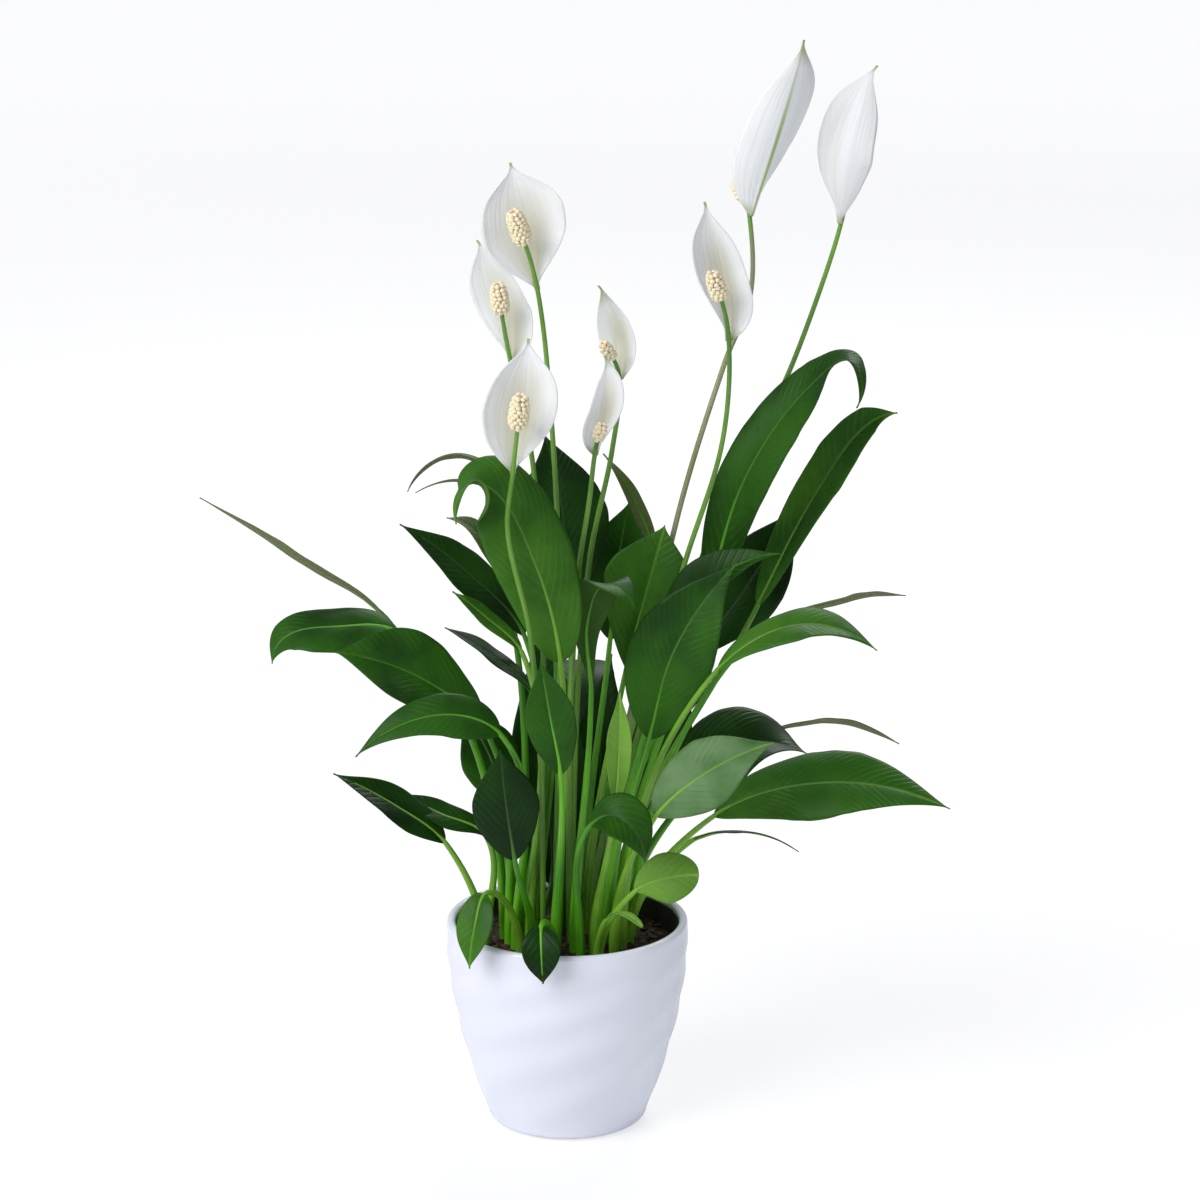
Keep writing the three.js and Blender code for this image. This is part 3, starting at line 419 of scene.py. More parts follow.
def new_group(name, inputs, outputs):
    """A node group that takes and gives numbers, with usual values for those that it takes."""
    tree = bpy.data.node_groups.new(name, "ShaderNodeTree")
    for label, value in inputs.items():
        socket = tree.interface.new_socket(label, in_out="INPUT", socket_type="NodeSocketFloat")
        socket.default_value = value
    for label in outputs:
        tree.interface.new_socket(label, in_out="OUTPUT", socket_type="NodeSocketFloat")
    return tree, tree.nodes.new("NodeGroupInput"), tree.nodes.new("NodeGroupOutput")


def new_material(name):
    material = bpy.data.materials.new(name)
    material.use_nodes = True
    tree = material.node_tree
    return material, tree, tree.nodes["Principled BSDF"]


# ---- Finishes --------------------------------------------------------------------------------------

LEAF_GLOW = (0.002, 0.004, 0.001)  # how red, green and blue light spreads inside a leaf or stem
# A leaf's tone stands partly for its own green and partly for painted light and shade: deeper tones darken
# leaves shaded in the clump, lighter tones brighten lit leaves.
LEAF_GREENS = dict(
    deep=dict(dark=(0.002, 0.017, 0.001), bright=(0.009, 0.055, 0.002), vein=(0.016, 0.075, 0.005),
              midrib=(0.026, 0.105, 0.007), back=(0.015, 0.055, 0.006), rib_share=0.3),
    mid=dict(dark=(0.005, 0.038, 0.001), bright=(0.021, 0.102, 0.004), vein=(0.036, 0.14, 0.009),
             midrib=(0.06, 0.21, 0.013), back=(0.042, 0.105, 0.015), rib_share=0.34),
    light=dict(dark=(0.018, 0.09, 0.004), bright=(0.052, 0.175, 0.011), vein=(0.072, 0.21, 0.022),
               midrib=(0.13, 0.33, 0.02), back=(0.06, 0.145, 0.022), rib_share=0.6),
    pale=dict(dark=(0.085, 0.22, 0.02), bright=(0.155, 0.33, 0.042), vein=(0.2, 0.38, 0.07),
              midrib=(0.26, 0.47, 0.09), back=(0.16, 0.28, 0.07), rib_share=0.6),
    # The next tone's grey-greens are a painted sheen: a soft reflection painted into the blade's colour.
    painted_sheen=dict(dark=(0.045, 0.13, 0.028), bright=(0.15, 0.265, 0.115), vein=(0.05, 0.15, 0.03),
               midrib=(0.17, 0.36, 0.05), back=(0.1, 0.17, 0.06), rib_share=0.7),
    olive=dict(dark=(0.06, 0.105, 0.02), bright=(0.125, 0.175, 0.052), vein=(0.16, 0.205, 0.08),
               midrib=(0.21, 0.25, 0.11), back=(0.14, 0.165, 0.075), rib_share=0.5),
)
PETIOLE_GREENS = dict(
    deep=dict(dark=(0.022, 0.15, 0.002), bright=(0.08, 0.35, 0.005), streak=(0.17, 0.44, 0.014)),
    mid=dict(dark=(0.034, 0.22, 0.002), bright=(0.12, 0.45, 0.007), streak=(0.24, 0.54, 0.02)),
    pale=dict(dark=(0.08, 0.26, 0.01), bright=(0.2, 0.45, 0.025), streak=(0.32, 0.56, 0.08)),
)
# For each tone: the petiole's greens, the midrib colour that they turn into, and the length along the
# blade at which they have.
PETIOLE_TONES = dict(
    deep=("deep", (0.01, 0.058, 0.003), 25.0),
    mid=("mid", (0.026, 0.12, 0.005), 95.0),
    light=("pale", (0.06, 0.19, 0.012), 60.0),
    painted_sheen=("pale", (0.13, 0.28, 0.05), 90.0),
    pale=("pale", (0.17, 0.36, 0.045), 50.0),
    olive=("mid", (0.13, 0.18, 0.06), 30.0),
)
PETIOLE_TURNS = -15.0  # where a petiole's green starts to turn, before the blade's neck


def make_vein_group():
    """Side veins that leave the midrib forwards, the midrib itself, and a soft mottle."""
    tree, given, out = new_group("leaf_veins", {"Spacing": 5.0, "Slant": 0.9},
                                 ("Veins", "Midrib", "Mottle", "Under", "Fibres"))
    place = attribute(tree, "place", "Vector")
    sideways, along, _ = add_node(tree, "SeparateXYZ", {0: place}).outputs
    across = calc(tree, "ABSOLUTE", sideways)
    nudge = times(tree, minus(tree, cloudy(tree, 70.0, 1.0), 0.5), 2.4)
    lead = times(tree, calc(tree, "POWER", across, VEINS["curve"]), given.outputs["Slant"])
    run = plus(tree, minus(tree, along, lead), nudge)
    turn = calc(tree, "DIVIDE", run, given.outputs["Spacing"])
    wave = calc(tree, "ABSOLUTE", calc(tree, "SINE", times(tree, turn, math.pi)))
    faint = cloudy(tree, 45.0, 2.0)
    lines = calc(tree, "POWER", minus(tree, 1.0, wave), 2.2)
    fine = calc(tree, "ABSOLUTE", calc(tree, "SINE", times(tree, turn, math.pi * 4)))
    midrib = times(tree, remap(tree, across, 0.2, 1.2, 1.0, 0.0), remap(tree, faint, 0.3, 0.6, 0.55, 1.0))
    feed(tree, out, {
        "Veins": times(tree, lines, remap(tree, faint, 0.38, 0.66)),
        "Midrib": midrib,
        "Mottle": remap(tree, cloudy(tree, 22.0, 4.0), 0.32, 0.68),
        "Under": attribute(tree, "under"),
        "Fibres": calc(tree, "POWER", minus(tree, 1.0, fine), 2.0),
    })
    return tree


vein_group = make_vein_group()


def blade_finish(name, dark, bright, vein, midrib, back, rib_share):
    """A leaf's skin: dark and bright greens that mingle, paler veins and midrib, a duller back."""
    material, tree, skin = new_material(name)
    spread = {"Spacing": VEINS["gap"], "Slant": VEINS["slant"]}
    veins = add_node(tree, "Group", spread, node_tree=vein_group).outputs
    body = blend_colour(tree, veins["Mottle"], dark, bright)
    fine = times(tree, veins["Fibres"], 0.06)
    lines = calc(tree, "ADD", times(tree, veins["Veins"], 0.4), fine, clamp=True)
    veined = blend_colour(tree, lines, body, vein)
    ribbed = blend_colour(tree, times(tree, veins["Midrib"], rib_share), veined, midrib)
    turned = blend_colour(tree, times(tree, veins["Under"], 0.8), ribbed, back)
    gloss = remap(tree, veins["Mottle"], 0.0, 1.0, 0.38, 0.48)
    soft = plus(tree, times(tree, veins["Fibres"], 0.12), veins["Mottle"])
    height = minus(tree, soft, plus(tree, veins["Veins"], veins["Midrib"]))
    feed(tree, skin, {
        "Base Color": turned,
        "Roughness": plus(tree, times(tree, veins["Under"], 0.25), gloss),
        "Normal": relief(tree, height, 0.4, 0.0006),
        "Specular IOR Level": 0.16,
        "Subsurface Weight": 0.06,
        "Subsurface Radius": LEAF_GLOW,
    })
    return material


def stem_finish(name, dark, bright, streak, rough, top, start, end):
    """A stem, streaked lengthwise and lighter in patches, that turns to the colour top from start to end."""
    material, tree, skin = new_material(name)
    place = attribute(tree, "place", "Vector")
    stretched = add_node(tree, "Mapping", {"Vector": place, "Scale": (7.0, 0.02, 0.0)}).outputs[0]
    streaks = cloudy(tree, 1.6, 3.0, stretched)
    body = blend_colour(tree, remap(tree, cloudy(tree, 16.0, 3.0), 0.3, 0.7), dark, bright)
    lined = blend_colour(tree, remap(tree, streaks, 0.45, 0.75, 0.0, 0.55), body, streak)
    along = add_node(tree, "SeparateXYZ", {0: place}).outputs[1]
    feed(tree, skin, {
        "Base Color": blend_colour(tree, remap(tree, along, start, end), lined, top),
        "Roughness": rough,
        "Normal": relief(tree, streaks, 0.35, 0.0004),
        "Subsurface Weight": 0.1,
        "Subsurface Radius": LEAF_GLOW,
    })
    return material


def spathe_finish(name, back_rib):
    """White and faintly translucent, creased lengthwise, with painted shade in its hollow, green at tip and
    foot.
    """
    material, tree, skin = new_material(name)
    place = attribute(tree, "place", "Vector")
    across, along, green = add_node(tree, "SeparateXYZ", {0: place}).outputs
    under = attribute(tree, "under")
    stretched = add_node(tree, "Mapping", {"Vector": place, "Scale": (7.0, 1.3, 40.0)}).outputs[0]
    fold = remap(tree, cloudy(tree, 1.0, 3.0, stretched), 0.35, 0.7)
    white = blend_colour(tree, cloudy(tree, 30.0, 4.0), (0.85, 0.86, 0.88), (0.79, 0.81, 0.83))
    creased = blend_colour(tree, times(tree, fold, 0.22), white, (0.72, 0.74, 0.71))
    width = calc(tree, "ABSOLUTE", across)
    # painted shade: the front's middle darkens towards the foot, where the hollow round the spadix lies in
    # shade
    middle = times(tree, remap(tree, width, 0.15, 0.85, 0.9, 0.0), minus(tree, 1.0, under))
    painted_cup_shade = times(tree, middle, remap(tree, along, 0.95, 0.45))
    with_cup_shade = blend_colour(tree, painted_cup_shade, creased, (0.55, 0.54, 0.42))
    midrib = remap(tree, width, 0.03, 0.1, 1.0, 0.0)
    marked = times(tree, midrib, remap(tree, under, 0.0, 1.0, 0.1, back_rib))
    rib_share = times(tree, marked, remap(tree, along, 0.5, 0.85, 1.0, 0.35))
    ribbed = blend_colour(tree, rib_share, with_cup_shade, (0.3, 0.42, 0.12))
    start = minus(tree, 1.0, green)
    tip = calc(tree, "DIVIDE", minus(tree, along, start), green, clamp=True)
    foot = remap(tree, along, 0.0, 0.1, 0.75, 0.0)
    ends = calc(tree, "MAXIMUM", remap(tree, tip, 0.0, 1.0, 0.0, 0.9), foot)
    feed(tree, skin, {
        "Base Color": blend_colour(tree, ends, ribbed, (0.3, 0.38, 0.1)),
        "Roughness": 0.42,
        "Normal": relief(tree, minus(tree, times(tree, midrib, 0.5), fold), 0.22, 0.0008),
        "Subsurface Weight": 0.35,
        "Subsurface Radius": (0.006, 0.006, 0.005),
    })
    return material


def spadix_finish():
    """Cream florets on a core painted brown as painted shade between the florets."""
    material, tree, skin = new_material("spadix_cream")
    florets = blend_colour(tree, cloudy(tree, 260.0, 3.0), (0.93, 0.86, 0.66), (0.84, 0.72, 0.48))
    feed(tree, skin, {
        # the core shows between the florets; its brown is painted shade
        "Base Color": blend_colour(tree, attribute(tree, "under"), florets, (0.5, 0.34, 0.17)),
        "Roughness": 0.7,
        "Normal": relief(tree, cloudy(tree, 1400.0, 2.0), 0.4, 0.0003),
        "Subsurface Weight": 0.2,
        "Subsurface Radius": (0.003, 0.002, 0.001),
    })
    return material


def glaze_finish():
    """White glaze with a faint lilac tint; below the rim the inner wall is painted dark as painted shade."""
    material, tree, skin = new_material("pot_glaze")
    cloud = cloudy(tree, 9.0, 3.0)
    white = blend_colour(tree, cloud, (0.76, 0.78, 0.9), (0.82, 0.84, 0.93))
    smear = times(tree, minus(tree, cloudy(tree, 60.0, 4.0), 0.5), 0.5)
    # painted shade: the inner wall darkens from the rim downwards, with a noisy edge, and turns rougher there
    painted_inner_shade = remap(tree, plus(tree, attribute(tree, "inner"), smear), 0.2, 0.6)
    gloss = remap(tree, cloud, 0.3, 0.7, 0.16, 0.26)
    feed(tree, skin, {
        "Base Color": blend_colour(tree, painted_inner_shade, white, (0.03, 0.024, 0.018)),
        "Roughness": plus(tree, gloss, times(tree, painted_inner_shade, 0.6)),
        "Normal": relief(tree, cloudy(tree, 60.0, 2.0), 0.05, 0.002),
    })
    return material


def peat_finish():
    """Nearly black peat with browner patches and flecks."""
    material, tree, skin = new_material("peat")
    crumbs = cloudy(tree, 320.0, 6.0, rough=0.7)
    patches = remap(tree, cloudy(tree, 60.0, 4.0), 0.35, 0.7)
    dark = blend_colour(tree, patches, (0.012, 0.008, 0.006), (0.045, 0.026, 0.015))
    flecks = remap(tree, crumbs, 0.56, 0.72, 0.0, 0.6)
    feed(tree, skin, {
        "Base Color": blend_colour(tree, flecks, dark, (0.12, 0.065, 0.03)),
        "Roughness": 0.95,
        "Normal": relief(tree, crumbs, 0.9, 0.0015),
    })
    return material


def bark_finish():
    """Dark brown bark, worn lighter along its grain."""
    material, tree, skin = new_material("bark_bits")
    grain = cloudy(tree, 500.0, 4.0)
    patches = remap(tree, cloudy(tree, 75.0, 2.0), 0.35, 0.65)
    brown = blend_colour(tree, patches, (0.02, 0.012, 0.007), (0.1, 0.045, 0.018))
    worn = remap(tree, grain, 0.45, 0.75, 0.0, 0.6)
    feed(tree, skin, {
        "Base Color": blend_colour(tree, worn, brown, (0.16, 0.1, 0.05)),
        "Roughness": 0.85,
        "Normal": relief(tree, grain, 0.8, 0.0008),
    })
    return material


BLADES = {tone: blade_finish("leaf_" + tone, **greens) for tone, greens in LEAF_GREENS.items()}
PETIOLES = {
    tone: stem_finish("petiole_" + tone, **PETIOLE_GREENS[greens], rough=0.45, top=midrib,
                      start=PETIOLE_TURNS, end=end)
    for tone, (greens, midrib, end) in PETIOLE_TONES.items()
}
STALK_SKIN = stem_finish("stalk_green", (0.06, 0.18, 0.012), (0.14, 0.33, 0.03), (0.25, 0.44, 0.07), 0.42,
                         (0.16, 0.36, 0.035), 380.0, 480.0)
STALK_FADED = stem_finish("stalk_faded", (0.2, 0.24, 0.1), (0.3, 0.32, 0.18), (0.4, 0.42, 0.26), 0.5,
                          (0.1, 0.27, 0.025), 300.0, 360.0)
SPATHE_PLAIN = spathe_finish("spathe_white", 0.12)
SPATHE_RIBBED = spathe_finish("spathe_ribbed", 0.9)
SPADIX_SKIN = spadix_finish()


# ---- Pot and peat ----------------------------------------------------------------------------------

def wall_radius(z):
    """The radius of the pot's outside at the height z, without its ridges."""
    below = max(0.0, 1 - z / POT["belly_height"])
    return POT["belly_radius"] - (POT["belly_radius"] - POT["low_radius"]) * below ** POT["wall_power"]


def ridge_at(z, angle):
    """How far the slanting ridges stand out there. They fade out towards the foot and the rim."""
    level = z / POT["height"]
    fade = smooth(level / RIDGES["fade"]) * smooth((1 - level) / RIDGES["fade"])
    bands = RIDGES["bands"] * max(level, 0) ** RIDGES["band_power"]
    return RIDGES["height"] * fade * math.sin(RIDGES["starts"] * angle - 2 * math.pi * bands)


def make_pot():
    """A profile spun round: the rounded foot, the wall, the round lip and the inside."""
    rim = POT["wall"] / 2
    shoulder = POT["height"] - rim
    outer = wall_radius(POT["foot_height"])
    angles = [math.pi / 2 * i / POT_STEPS["foot"] for i in range(POT_STEPS["foot"] + 1)]
    profile = [(mix(POT["foot_radius"], outer, math.sin(a)), POT["foot_height"] * (1 - math.cos(a)))
               for a in angles]
    heights = [mix(POT["foot_height"], shoulder, i / POT_STEPS["wall"]) for i in range(POT_STEPS["wall"] + 1)]
    profile += [(wall_radius(z), z) for z in heights[1:]]
    lip = wall_radius(shoulder) - rim
    angles = [math.pi * i / POT_STEPS["lip"] for i in range(1, POT_STEPS["lip"] + 1)]
    profile += [(lip + rim * math.cos(a), shoulder + rim * math.sin(a)) for a in angles]
    heights = [mix(shoulder, POT["floor"], i / POT_STEPS["inside"]) for i in range(POT_STEPS["inside"] + 1)]
    profile += [(wall_radius(z) - POT["wall"], z) for z in heights[1:]]
    bm = bmesh.new()
    ring = [bm.verts.new((0, 0, 0))] + [bm.verts.new((r, 0, z)) for r, z in profile]
    ring.append(bm.verts.new((0, 0, POT["floor"])))
    edges = [bm.edges.new(pair) for pair in zip(ring, ring[1:])]
    bmesh.ops.spin(bm, geom=[*ring, *edges], cent=(0, 0, 0), axis=(0, 0, 1), dvec=(0, 0, 0),
                   angle=2 * math.pi, steps=POT_STEPS["round"], use_merge=True, use_normal_flip=False,
                   use_duplicate=False)
    bmesh.ops.remove_doubles(bm, verts=bm.verts, dist=0.01)
    for vert in bm.verts:
        radius, z = math.hypot(vert.co.x, vert.co.y), vert.co.z
        if POT["foot_height"] / 2 <= z <= shoulder and radius > wall_radius(z) - rim:
            out = 1 + ridge_at(z, math.atan2(vert.co.y, vert.co.x)) / radius
            vert.co.x *= out
            vert.co.y *= out
    inner = bm.verts.layers.float.new("inner")
    for vert in bm.verts:
        radius, z = math.hypot(vert.co.x, vert.co.y), vert.co.z
        # The attribute inner carries the painted shade of the inner wall: 0 at the rim, 1 from that depth
        # down.
        if z > POT["floor"] - 1 and radius < wall_radius(z) - POT["wall"] + NEAR:
            vert[inner] = smooth((POT["height"] - z) / POT["inner_shade_depth"])
    bmesh.ops.recalc_face_normals(bm, faces=bm.faces)
    finish_piece("glazed_pot", bm, [glaze_finish()], "glaze", "pot")


def peat_height(x, y):
    """Crumbly peat that heaps up a little round the clump."""
    spot = Vector((x, y, 0))
    heap = PEAT["heap"] * math.exp(-((x - 2) ** 2 + (y - 2) ** 2) / PEAT["heap_spread"])
    crumbs = sum(high * noise.noise(spot / wide) for high, wide in CRUMBS)
    return PEAT_TOP - PEAT["sink"] + heap + crumbs


def make_peat():
    """A round crumbly top, and sides that follow the pot's inside down to its floor."""
    edge = wall_radius(PEAT_TOP) - POT["wall"] - PEAT["gap"]
    bm = bmesh.new()
    bmesh.ops.create_grid(bm, x_segments=PEAT["grid"], y_segments=PEAT["grid"], size=1)
    for vert in bm.verts:
        x, y = vert.co.x, vert.co.y
        x, y = edge * x * math.sqrt(1 - y * y / 2), edge * y * math.sqrt(1 - x * x / 2)
        vert.co = Vector((x, y, peat_height(x, y)))
    for z in (*PEAT["rings"], POT["floor"] + PEAT["gap"]):
        border = [e for e in bm.edges if e.is_boundary]
        made = bmesh.ops.extrude_edge_only(bm, edges=border)
        for vert in (v for v in made["geom"] if isinstance(v, bmesh.types.BMVert)):
            shrink = (wall_radius(z) - POT["wall"] - PEAT["side_gap"]) / math.hypot(vert.co.x, vert.co.y)
            vert.co = Vector((vert.co.x * shrink, vert.co.y * shrink, z))
    bmesh.ops.contextual_create(bm, geom=[e for e in bm.edges if e.is_boundary])
    bmesh.ops.recalc_face_normals(bm, faces=bm.faces)
    finish_piece("peat_fill", bm, [peat_finish()], "peat", "soil")


def make_bark():
    """Bits of bark and twig that lie on the peat, drawn from a seeded random."""
    draw = random.Random(BARK["seed"])
    edge = wall_radius(PEAT_TOP) - POT["wall"] - BARK["wall_gap"]
    bm = bmesh.new()
    for _ in range(BARK["bits"]):
        radius, angle = edge * math.sqrt(draw.uniform(0.02, 1)), draw.uniform(0, 2 * math.pi)
        x, y = radius * math.cos(angle), radius * math.sin(angle)
        bit = bmesh.ops.create_icosphere(bm, subdivisions=1, radius=1)["verts"]
        size = draw.uniform(*BARK["size"])
        long = size * draw.uniform(*BARK["stretch"])
        shape = Matrix.Diagonal((long, size, size * draw.uniform(*BARK["flatten"]), 1))
        lean, dip = (Matrix.Rotation(draw.uniform(*BARK["tilt"]), 4, axis) for axis in "XY")
        turn = Matrix.Rotation(draw.uniform(0, math.pi), 4, "Z")
        spot = Matrix.Translation((x, y, peat_height(x, y) + BARK["lift"] * size))
        for vert in bit:
            vert.co *= draw.uniform(*BARK["rough"])
        bmesh.ops.transform(bm, matrix=spot @ turn @ (lean @ dip) @ shape, verts=bit)
    bmesh.ops.recalc_face_normals(bm, faces=bm.faces)
    facets = finish_piece("bark_bits", bm, [bark_finish()], "peat").data.polygons
    facets.foreach_set("use_smooth", [False] * len(facets))


# ---- Leaves ----------------------------------------------------------------------------------------

def blade_half(leaf, share):
    """A blade's half-width, drawn out at the tip, or blunt there where its taper is negative."""
    power = BLADE["shoulder"] + leaf["taper"] * share
    shape = swell(share, leaf["full"]) ** power
    return max(BLADE["tip_half"], leaf["half"] * shape)


def make_leaf_shells(leaf, number, skin):
    """One leaf: its petiole, which goes on as a midrib under the blade, and the blade."""
    root = Vector((*leaf["root"], PEAT_TOP + 1))
    points = [root, *(Vector(p) for p in (leaf["neck"], *leaf["by"], leaf["tip"]))]
    path = path_through(points, UP)
    spans = len(points) - 2
    length = sum((b - a).length for a, b in zip(points[1:], points[2:]))
    stem_length = (points[1] - points[0]).length
    turn, roll = both_ends(leaf["turn"]), both_ends(leaf["roll"])
    seed = 17.3 * number

    def frame_on_blade(share):
        point, tangent = path(1 + spans * share)
        side, upper = frame_at(tangent, mix(*turn, share**2), mix(*roll, share))
        return point, side, upper

    def stem_at(share):
        reach = mix(-PETIOLE["buried"], 1 + PETIOLE["rib"] * spans, share)
        if reach < 0:
            point = root + UP * (reach / PETIOLE["buried"] * (ROOT_DEPTH + 1))
            side, upper = frame_at(UP, turn[0], roll[0])
            return point, side, upper, PETIOLE["root"], PETIOLE["root"], -stem_length
        if reach <= 1:
            point, tangent = path(reach)
            side, upper = frame_at(tangent, turn[0], roll[0])
            radius = mix(PETIOLE["root"], PETIOLE["neck"], reach)
            below_top = (PETIOLE["sheath_top"] - reach) / PETIOLE["sheath_fade"]
            sheath = 1 + PETIOLE["sheath"] * smooth(below_top) * smooth(reach / 0.05)
            return point, side, upper, radius * sheath, radius, stem_length * (reach - 1)
        along = (reach - 1) / spans
        point, side, upper = frame_on_blade(along)
        radius = mix(PETIOLE["neck"], PETIOLE["end"], min(1, along * 1.05) ** 0.6)
        sink = radius * PETIOLE["sink"] * smooth(along / 0.12)
        return point - upper * sink, side, upper, radius, radius, length * along

    def point_at(share, v):
        point, side, upper = frame_on_blade(share)
        half = blade_half(leaf, share)
        size = abs(v)
        across, along = half * v, length * share
        ripple = math.sin(BLADE["wave_turn"] * share + BLADE["wave_lag"] * v) * math.sin(math.pi * share)
        rise = half * (leaf["fold"] * size - leaf["droop"] * size**2) + leaf["wave"] * v * size * ripple
        groove = -BLADE["groove"] * math.exp(-((across / BLADE["groove_half"]) ** 2)) * (1 - share)
        vein = math.cos(math.pi * (along - VEINS["slant"] * abs(across) ** VEINS["curve"]) / VEINS["gap"])
        quilt = BLADE["quilt"] * vein * smooth(size / 0.15) * smooth((1 - size) / 0.25) * min(1, half / 12)
        flutter = noise.noise(Vector((along / BLADE["flutter_length"], 3 * math.copysign(1, v), seed)))
        swinging = noise.noise(Vector((along / BLADE["swing_length"], 9 * math.copysign(1, v), seed)))
        edge = size**3 * min(1, half / 10) * math.sin(math.pi * min(1, share * 1.1))
        lift = rise + groove + quilt + BLADE["flutter"] * edge * flutter
        swing = BLADE["swing"] * half * edge * swinging
        return point + side * (across + swing) + upper * lift, upper, (across, along, v)

    rows = BLADE["rows"] if leaf["half"] > BLADE["small_half"] else BLADE["small_rows"]
    return [make_tube(stem_at, PETIOLE["rings"], PETIOLE["sides"]),
            make_sheet(point_at, rows, BLADE["columns"], BLADE["thick"], skin)]


def make_leaves():
    """One piece for each name, with one petiole finish and a finish for each tone of its blades."""
    for name in dict.fromkeys(leaf["name"] for leaf in LEAVES):
        own = [(i, {**LEAF_FORM, **leaf}) for i, leaf in enumerate(LEAVES) if leaf["name"] == name]
        tones = list(dict.fromkeys(leaf["tone"] for _, leaf in own))
        stem = own[0][1].get("stem", tones[0])
        shells = []
        for i, leaf in own:
            shells += make_leaf_shells(leaf, i, 1 + tones.index(leaf["tone"]))
        skins = [PETIOLES[stem], *(BLADES[tone] for tone in tones)]
        finish_piece(name + "_leaf", gather(shells), skins, "leaf", "leaf_" + name)


# ---- Blooms ----------------------------------------------------------------------------------------

def stalk_path(bloom):
    root = Vector((*bloom["root"], PEAT_TOP + 1))
    points = [root, *(Vector(p) for p in (*bloom["by"], bloom["foot"], bloom["seat"]))]
    return path_through(points, UP), points


def make_stalk(bloom, number):
    path, points = stalk_path(bloom)
    spans = len(points) - 1
    length = sum((b - a).length for a, b in zip(points, points[1:]))

    def ring_at(share):
        reach = mix(-STALK["buried"], spans, share)
        radius = mix(STALK["root"], STALK["top"], max(0, reach) / spans)
        if reach < 0:
            point = points[0] + UP * (reach / STALK["buried"] * (ROOT_DEPTH + 1))
            return point, *frame_at(UP, bloom["face"], 0), radius, radius, 0
        point, tangent = path(reach)
        return point, *frame_at(tangent, bloom["face"], 0), radius, radius, length * reach / spans

    skin = STALK_FADED if number in FADED_STALKS else STALK_SKIN
    tube = make_tube(ring_at, STALK["rings"], STALK["sides"])
    finish_piece(f"stalk_green_{number}", tube, [skin], "stalk", f"stalk_{number}")


def make_spathe(bloom, number):
    """A cupped white blade behind the spadix, whose edges flutter and may swell at different heights."""
    turn = math.radians(bloom["face"])
    facing = Vector((math.cos(turn), math.sin(turn), 0))
    foot = Vector(bloom["foot"]) - facing * SPATHE["behind"]
    tip = Vector(bloom["tip"])
    middle = foot.lerp(tip, SPATHE["middle"]) - facing * bloom["bow"]
    middle.x += bloom["lean"]
    path = path_through([foot, middle, tip], middle - foot - facing * (bloom["bow"] / 2))
    seed = 31.7 * number
    green_tip = GREEN_TIPS.get(number, SPATHE["green_tip"])

    def point_at(share, v):
        point, tangent = path(2 * share)
        side, upper = frame_at(tangent, bloom["face"] + 180, 0)
        power = SPATHE["shoulder"] + SPATHE["foot"] * (1 - share) ** 3 + SPATHE["point"] * share**6
        least = mix(SPATHE["base_half"], SPATHE["tip_half"], share)
        full = bloom["full"] + bloom["skew"] * ((v > 0) - (v < 0))
        half = max(least, bloom["half"] * swell(share, full) ** power)
        size = abs(v)
        flutter = noise.noise(Vector((share * SPATHE["flutter_rate"], 2 * math.copysign(1, v), seed)))
        swinging = noise.noise(Vector((share * SPATHE["swing_rate"], 7 * math.copysign(1, v), seed)))
        rim = size**2 * math.sin(math.pi * min(1, share * 1.05))
        keel = SPATHE["keel"] * math.exp(-((half * v / SPATHE["keel_half"]) ** 2)) * (1 - share)
        lift = half * bloom["cup"] * v * v + SPATHE["flutter"] * bloom["half"] * rim * flutter - keel
        swing = SPATHE["swing"] * half * rim * swinging
        return point + side * (half * v + swing) + upper * lift, upper, (v, share, green_tip)

    sheet = make_sheet(point_at, SPATHE["rows"], SPATHE["columns"], SPATHE["thick"], 0)
    skin = SPATHE_RIBBED if number in RIBBED else SPATHE_PLAIN
    finish_piece(f"spathe_white_{number}", sheet, [skin], "spathe", f"spathe_{number}")


def make_spadix(bloom, number):
    """A blunt spike: staggered rings of round florets on a core painted dark as shade between them."""
    radius, length = bloom["spadix"]
    path, points = stalk_path(bloom)
    base, tangent = path(len(points) - 1)
    side, upper = frame_at(tangent, bloom["face"], 0)
    draw = random.Random(100 + number)

    def core_at(share):
        swelling = min(1, 0.55 + 4 * share) * math.sqrt(max(0, 1 - share**5))
        wide = max(0.2, (radius - SPADIX["core_gap"]) * swelling)
        return base + tangent * (0.3 + (length - 0.8) * share), side, upper, wide, wide, share

    bm = make_tube(core_at, SPADIX["rings"], SPADIX["sides"])
    # The core is marked so that it takes the brown painted shade.
    under = bm.verts.layers.float["under"]
    for vert in bm.verts:
        vert[under] = 1.0
    floret = SPADIX["floret"]
    rows = int(length / (floret * SPADIX["packing"]))
    for row in range(rows + 1):
        centre, _, _, wide, _, _ = core_at((row + 0.5) / (rows + 1))
        ring = wide + SPADIX["stand"]
        count = max(4, round(2 * math.pi * ring / floret))
        for i in range(count):
            angle = 2 * math.pi * (i + 0.5 * (row % 2) + draw.uniform(-0.08, 0.08)) / count
            out = side * math.cos(angle) + upper * math.sin(angle)
            size = floret * draw.uniform(0.46, 0.54)
            ball = bmesh.ops.create_icosphere(bm, subdivisions=2, radius=size)["verts"]
            spot = centre + out * ring + tangent * draw.uniform(-SPADIX["jitter"], SPADIX["jitter"])
            bmesh.ops.transform(bm, matrix=Matrix.Translation(spot), verts=ball)
    finish_piece(f"spadix_cream_{number}", bm, [SPADIX_SKIN], "spadix", f"spadix_{number}")


# ---- Camera, light and floor, in metres ------------------------------------------------------------

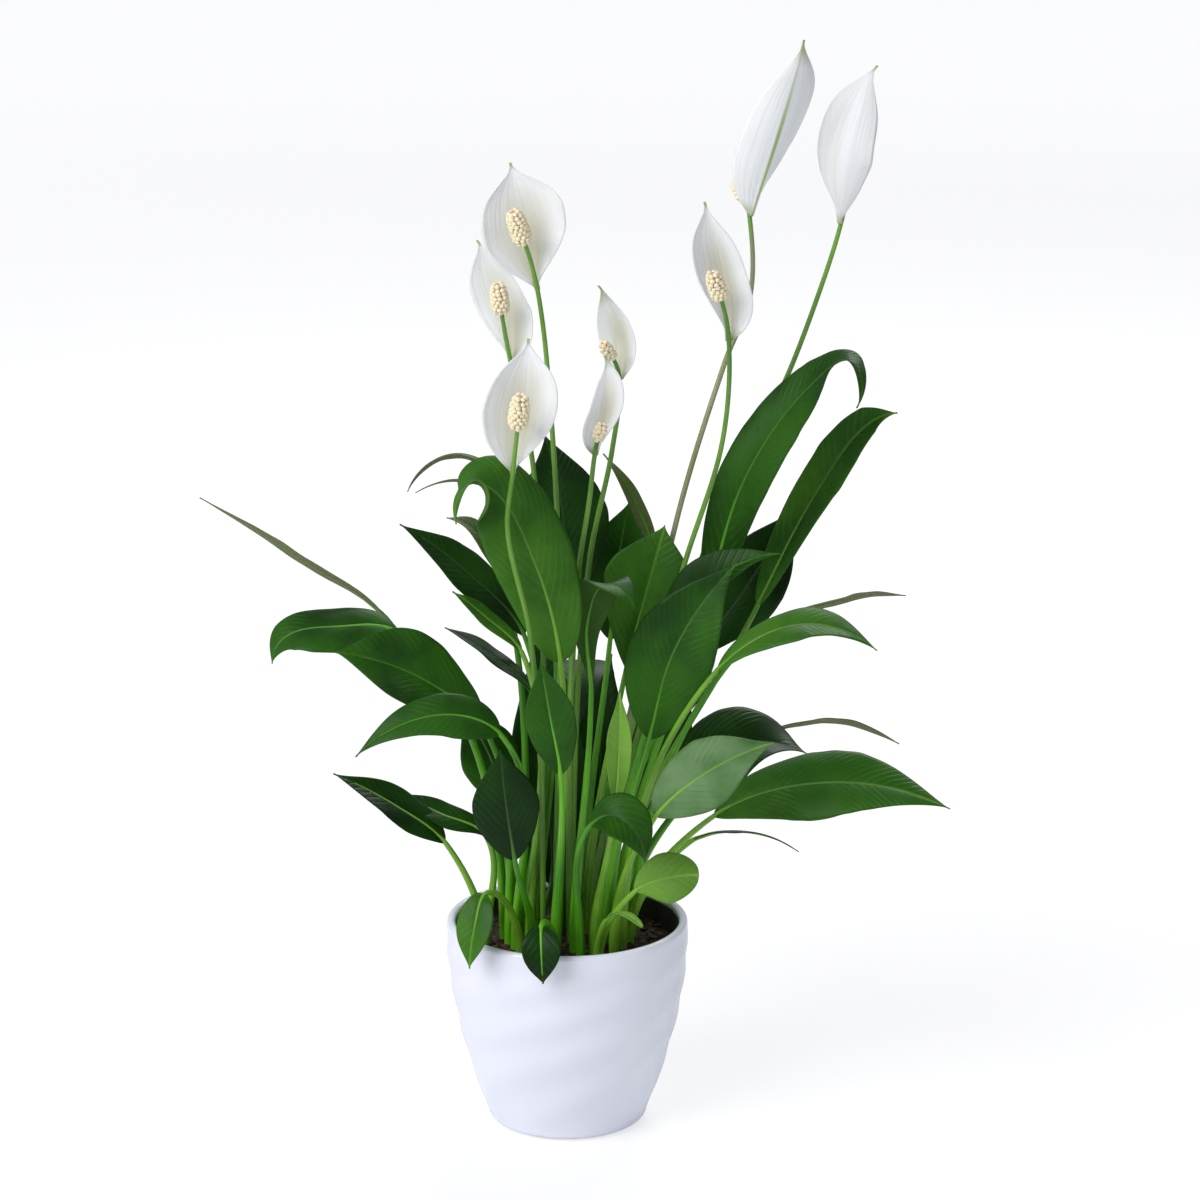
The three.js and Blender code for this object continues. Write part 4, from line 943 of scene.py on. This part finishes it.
CAMERA = dict(spot=(0.019, -2.2, 0.902), tilt=75, lens=120, sensor=36, clip_end=50)
SOFTBOXES = dict(
    key=dict(spot=(-1.5, -1.5, 1.9), target=(0, 0, 0.3), size=(1.8, 1.8), power=58, colour=(1, 0.99, 0.98)),
    fill=dict(spot=(1.7, -1.4, 0.9), target=(0, 0, 0.3), size=(1.2, 1.6), power=3.5, colour=(0.93, 0.95, 1)),
    back=dict(spot=(0.5, 1.8, 1.9), target=(0, 0, 0.35), size=(1.4, 1.0), power=26, colour=(1, 1, 1)),
)
WORLD_LIGHT = (0.33, 0.34, 0.36)
WORLD_SEEN = (0.975, 0.98, 0.985)
FLOOR = dict(half=14, lit=(0.93, 0.93, 0.94), seen=(0.36, 0.36, 0.37), fade_end=5.0, glow=(0.66, 0.82))


def link_new(name, data):
    """A new object in the scene for a camera, a light or a mesh."""
    holder = bpy.data.objects.new(name, data)
    bpy.context.scene.collection.objects.link(holder)
    return holder


def add_softbox(name, spot, target, size, power, colour):
    lamp = bpy.data.lights.new(name, "AREA")
    lamp.shape = "RECTANGLE"
    lamp.size, lamp.size_y = size
    lamp.energy = power
    lamp.color = colour
    holder = link_new(name, lamp)
    holder.location = spot
    holder.rotation_euler = (Vector(target) - Vector(spot)).to_track_quat("-Z", "Y").to_euler()


def add_stage():
    """A pale floor that the camera sees brighten away from the pot, towards the backdrop's white."""
    bm = bmesh.new()
    bmesh.ops.create_grid(bm, x_segments=1, y_segments=1, size=FLOOR["half"])
    mesh = bpy.data.meshes.new("pale_floor")
    bm.to_mesh(mesh)
    bm.free()
    floor = link_new("pale_floor", mesh)
    material, tree, skin = new_material("pale_floor")
    seen = add_node(tree, "LightPath").outputs["Is Camera Ray"]
    spot = add_node(tree, "TexCoord").outputs["Object"]
    away = add_node(tree, "VectorMath", {0: spot}, operation="LENGTH").outputs["Value"]
    feed(tree, skin, {
        "Base Color": blend_colour(tree, seen, FLOOR["lit"], FLOOR["seen"]),
        "Roughness": 0.8,
        "Emission Color": (1, 1, 1, 1),
        "Emission Strength": times(tree, seen, remap(tree, away, 0.0, FLOOR["fade_end"], *FLOOR["glow"])),
    })
    mesh.materials.append(material)


def add_camera():
    camera = bpy.data.cameras.new("camera")
    camera.lens = CAMERA["lens"]
    camera.sensor_width = CAMERA["sensor"]
    camera.clip_end = CAMERA["clip_end"]
    holder = link_new("camera", camera)
    holder.location = CAMERA["spot"]
    holder.rotation_euler = (math.radians(CAMERA["tilt"]), 0, 0)
    bpy.context.scene.camera = holder


def add_light():
    for name, values in SOFTBOXES.items():
        add_softbox(name, **values)
    world = bpy.data.worlds.new("studio")
    world.use_nodes = True
    tree = world.node_tree
    seen = add_node(tree, "LightPath").outputs["Is Camera Ray"]
    tint = blend_colour(tree, seen, WORLD_LIGHT, WORLD_SEEN)
    feed(tree, tree.nodes["Background"], {"Color": tint, "Strength": 1.0})
    bpy.context.scene.world = world
    bpy.context.scene.view_settings.view_transform = "Standard"


add_camera()
add_light()
add_stage()
make_pot()
make_peat()
make_bark()
make_leaves()
for number, bloom in enumerate(BLOOMS, 1):
    make_stalk(bloom, number)
    make_spathe(bloom, number)
    make_spadix(bloom, number)
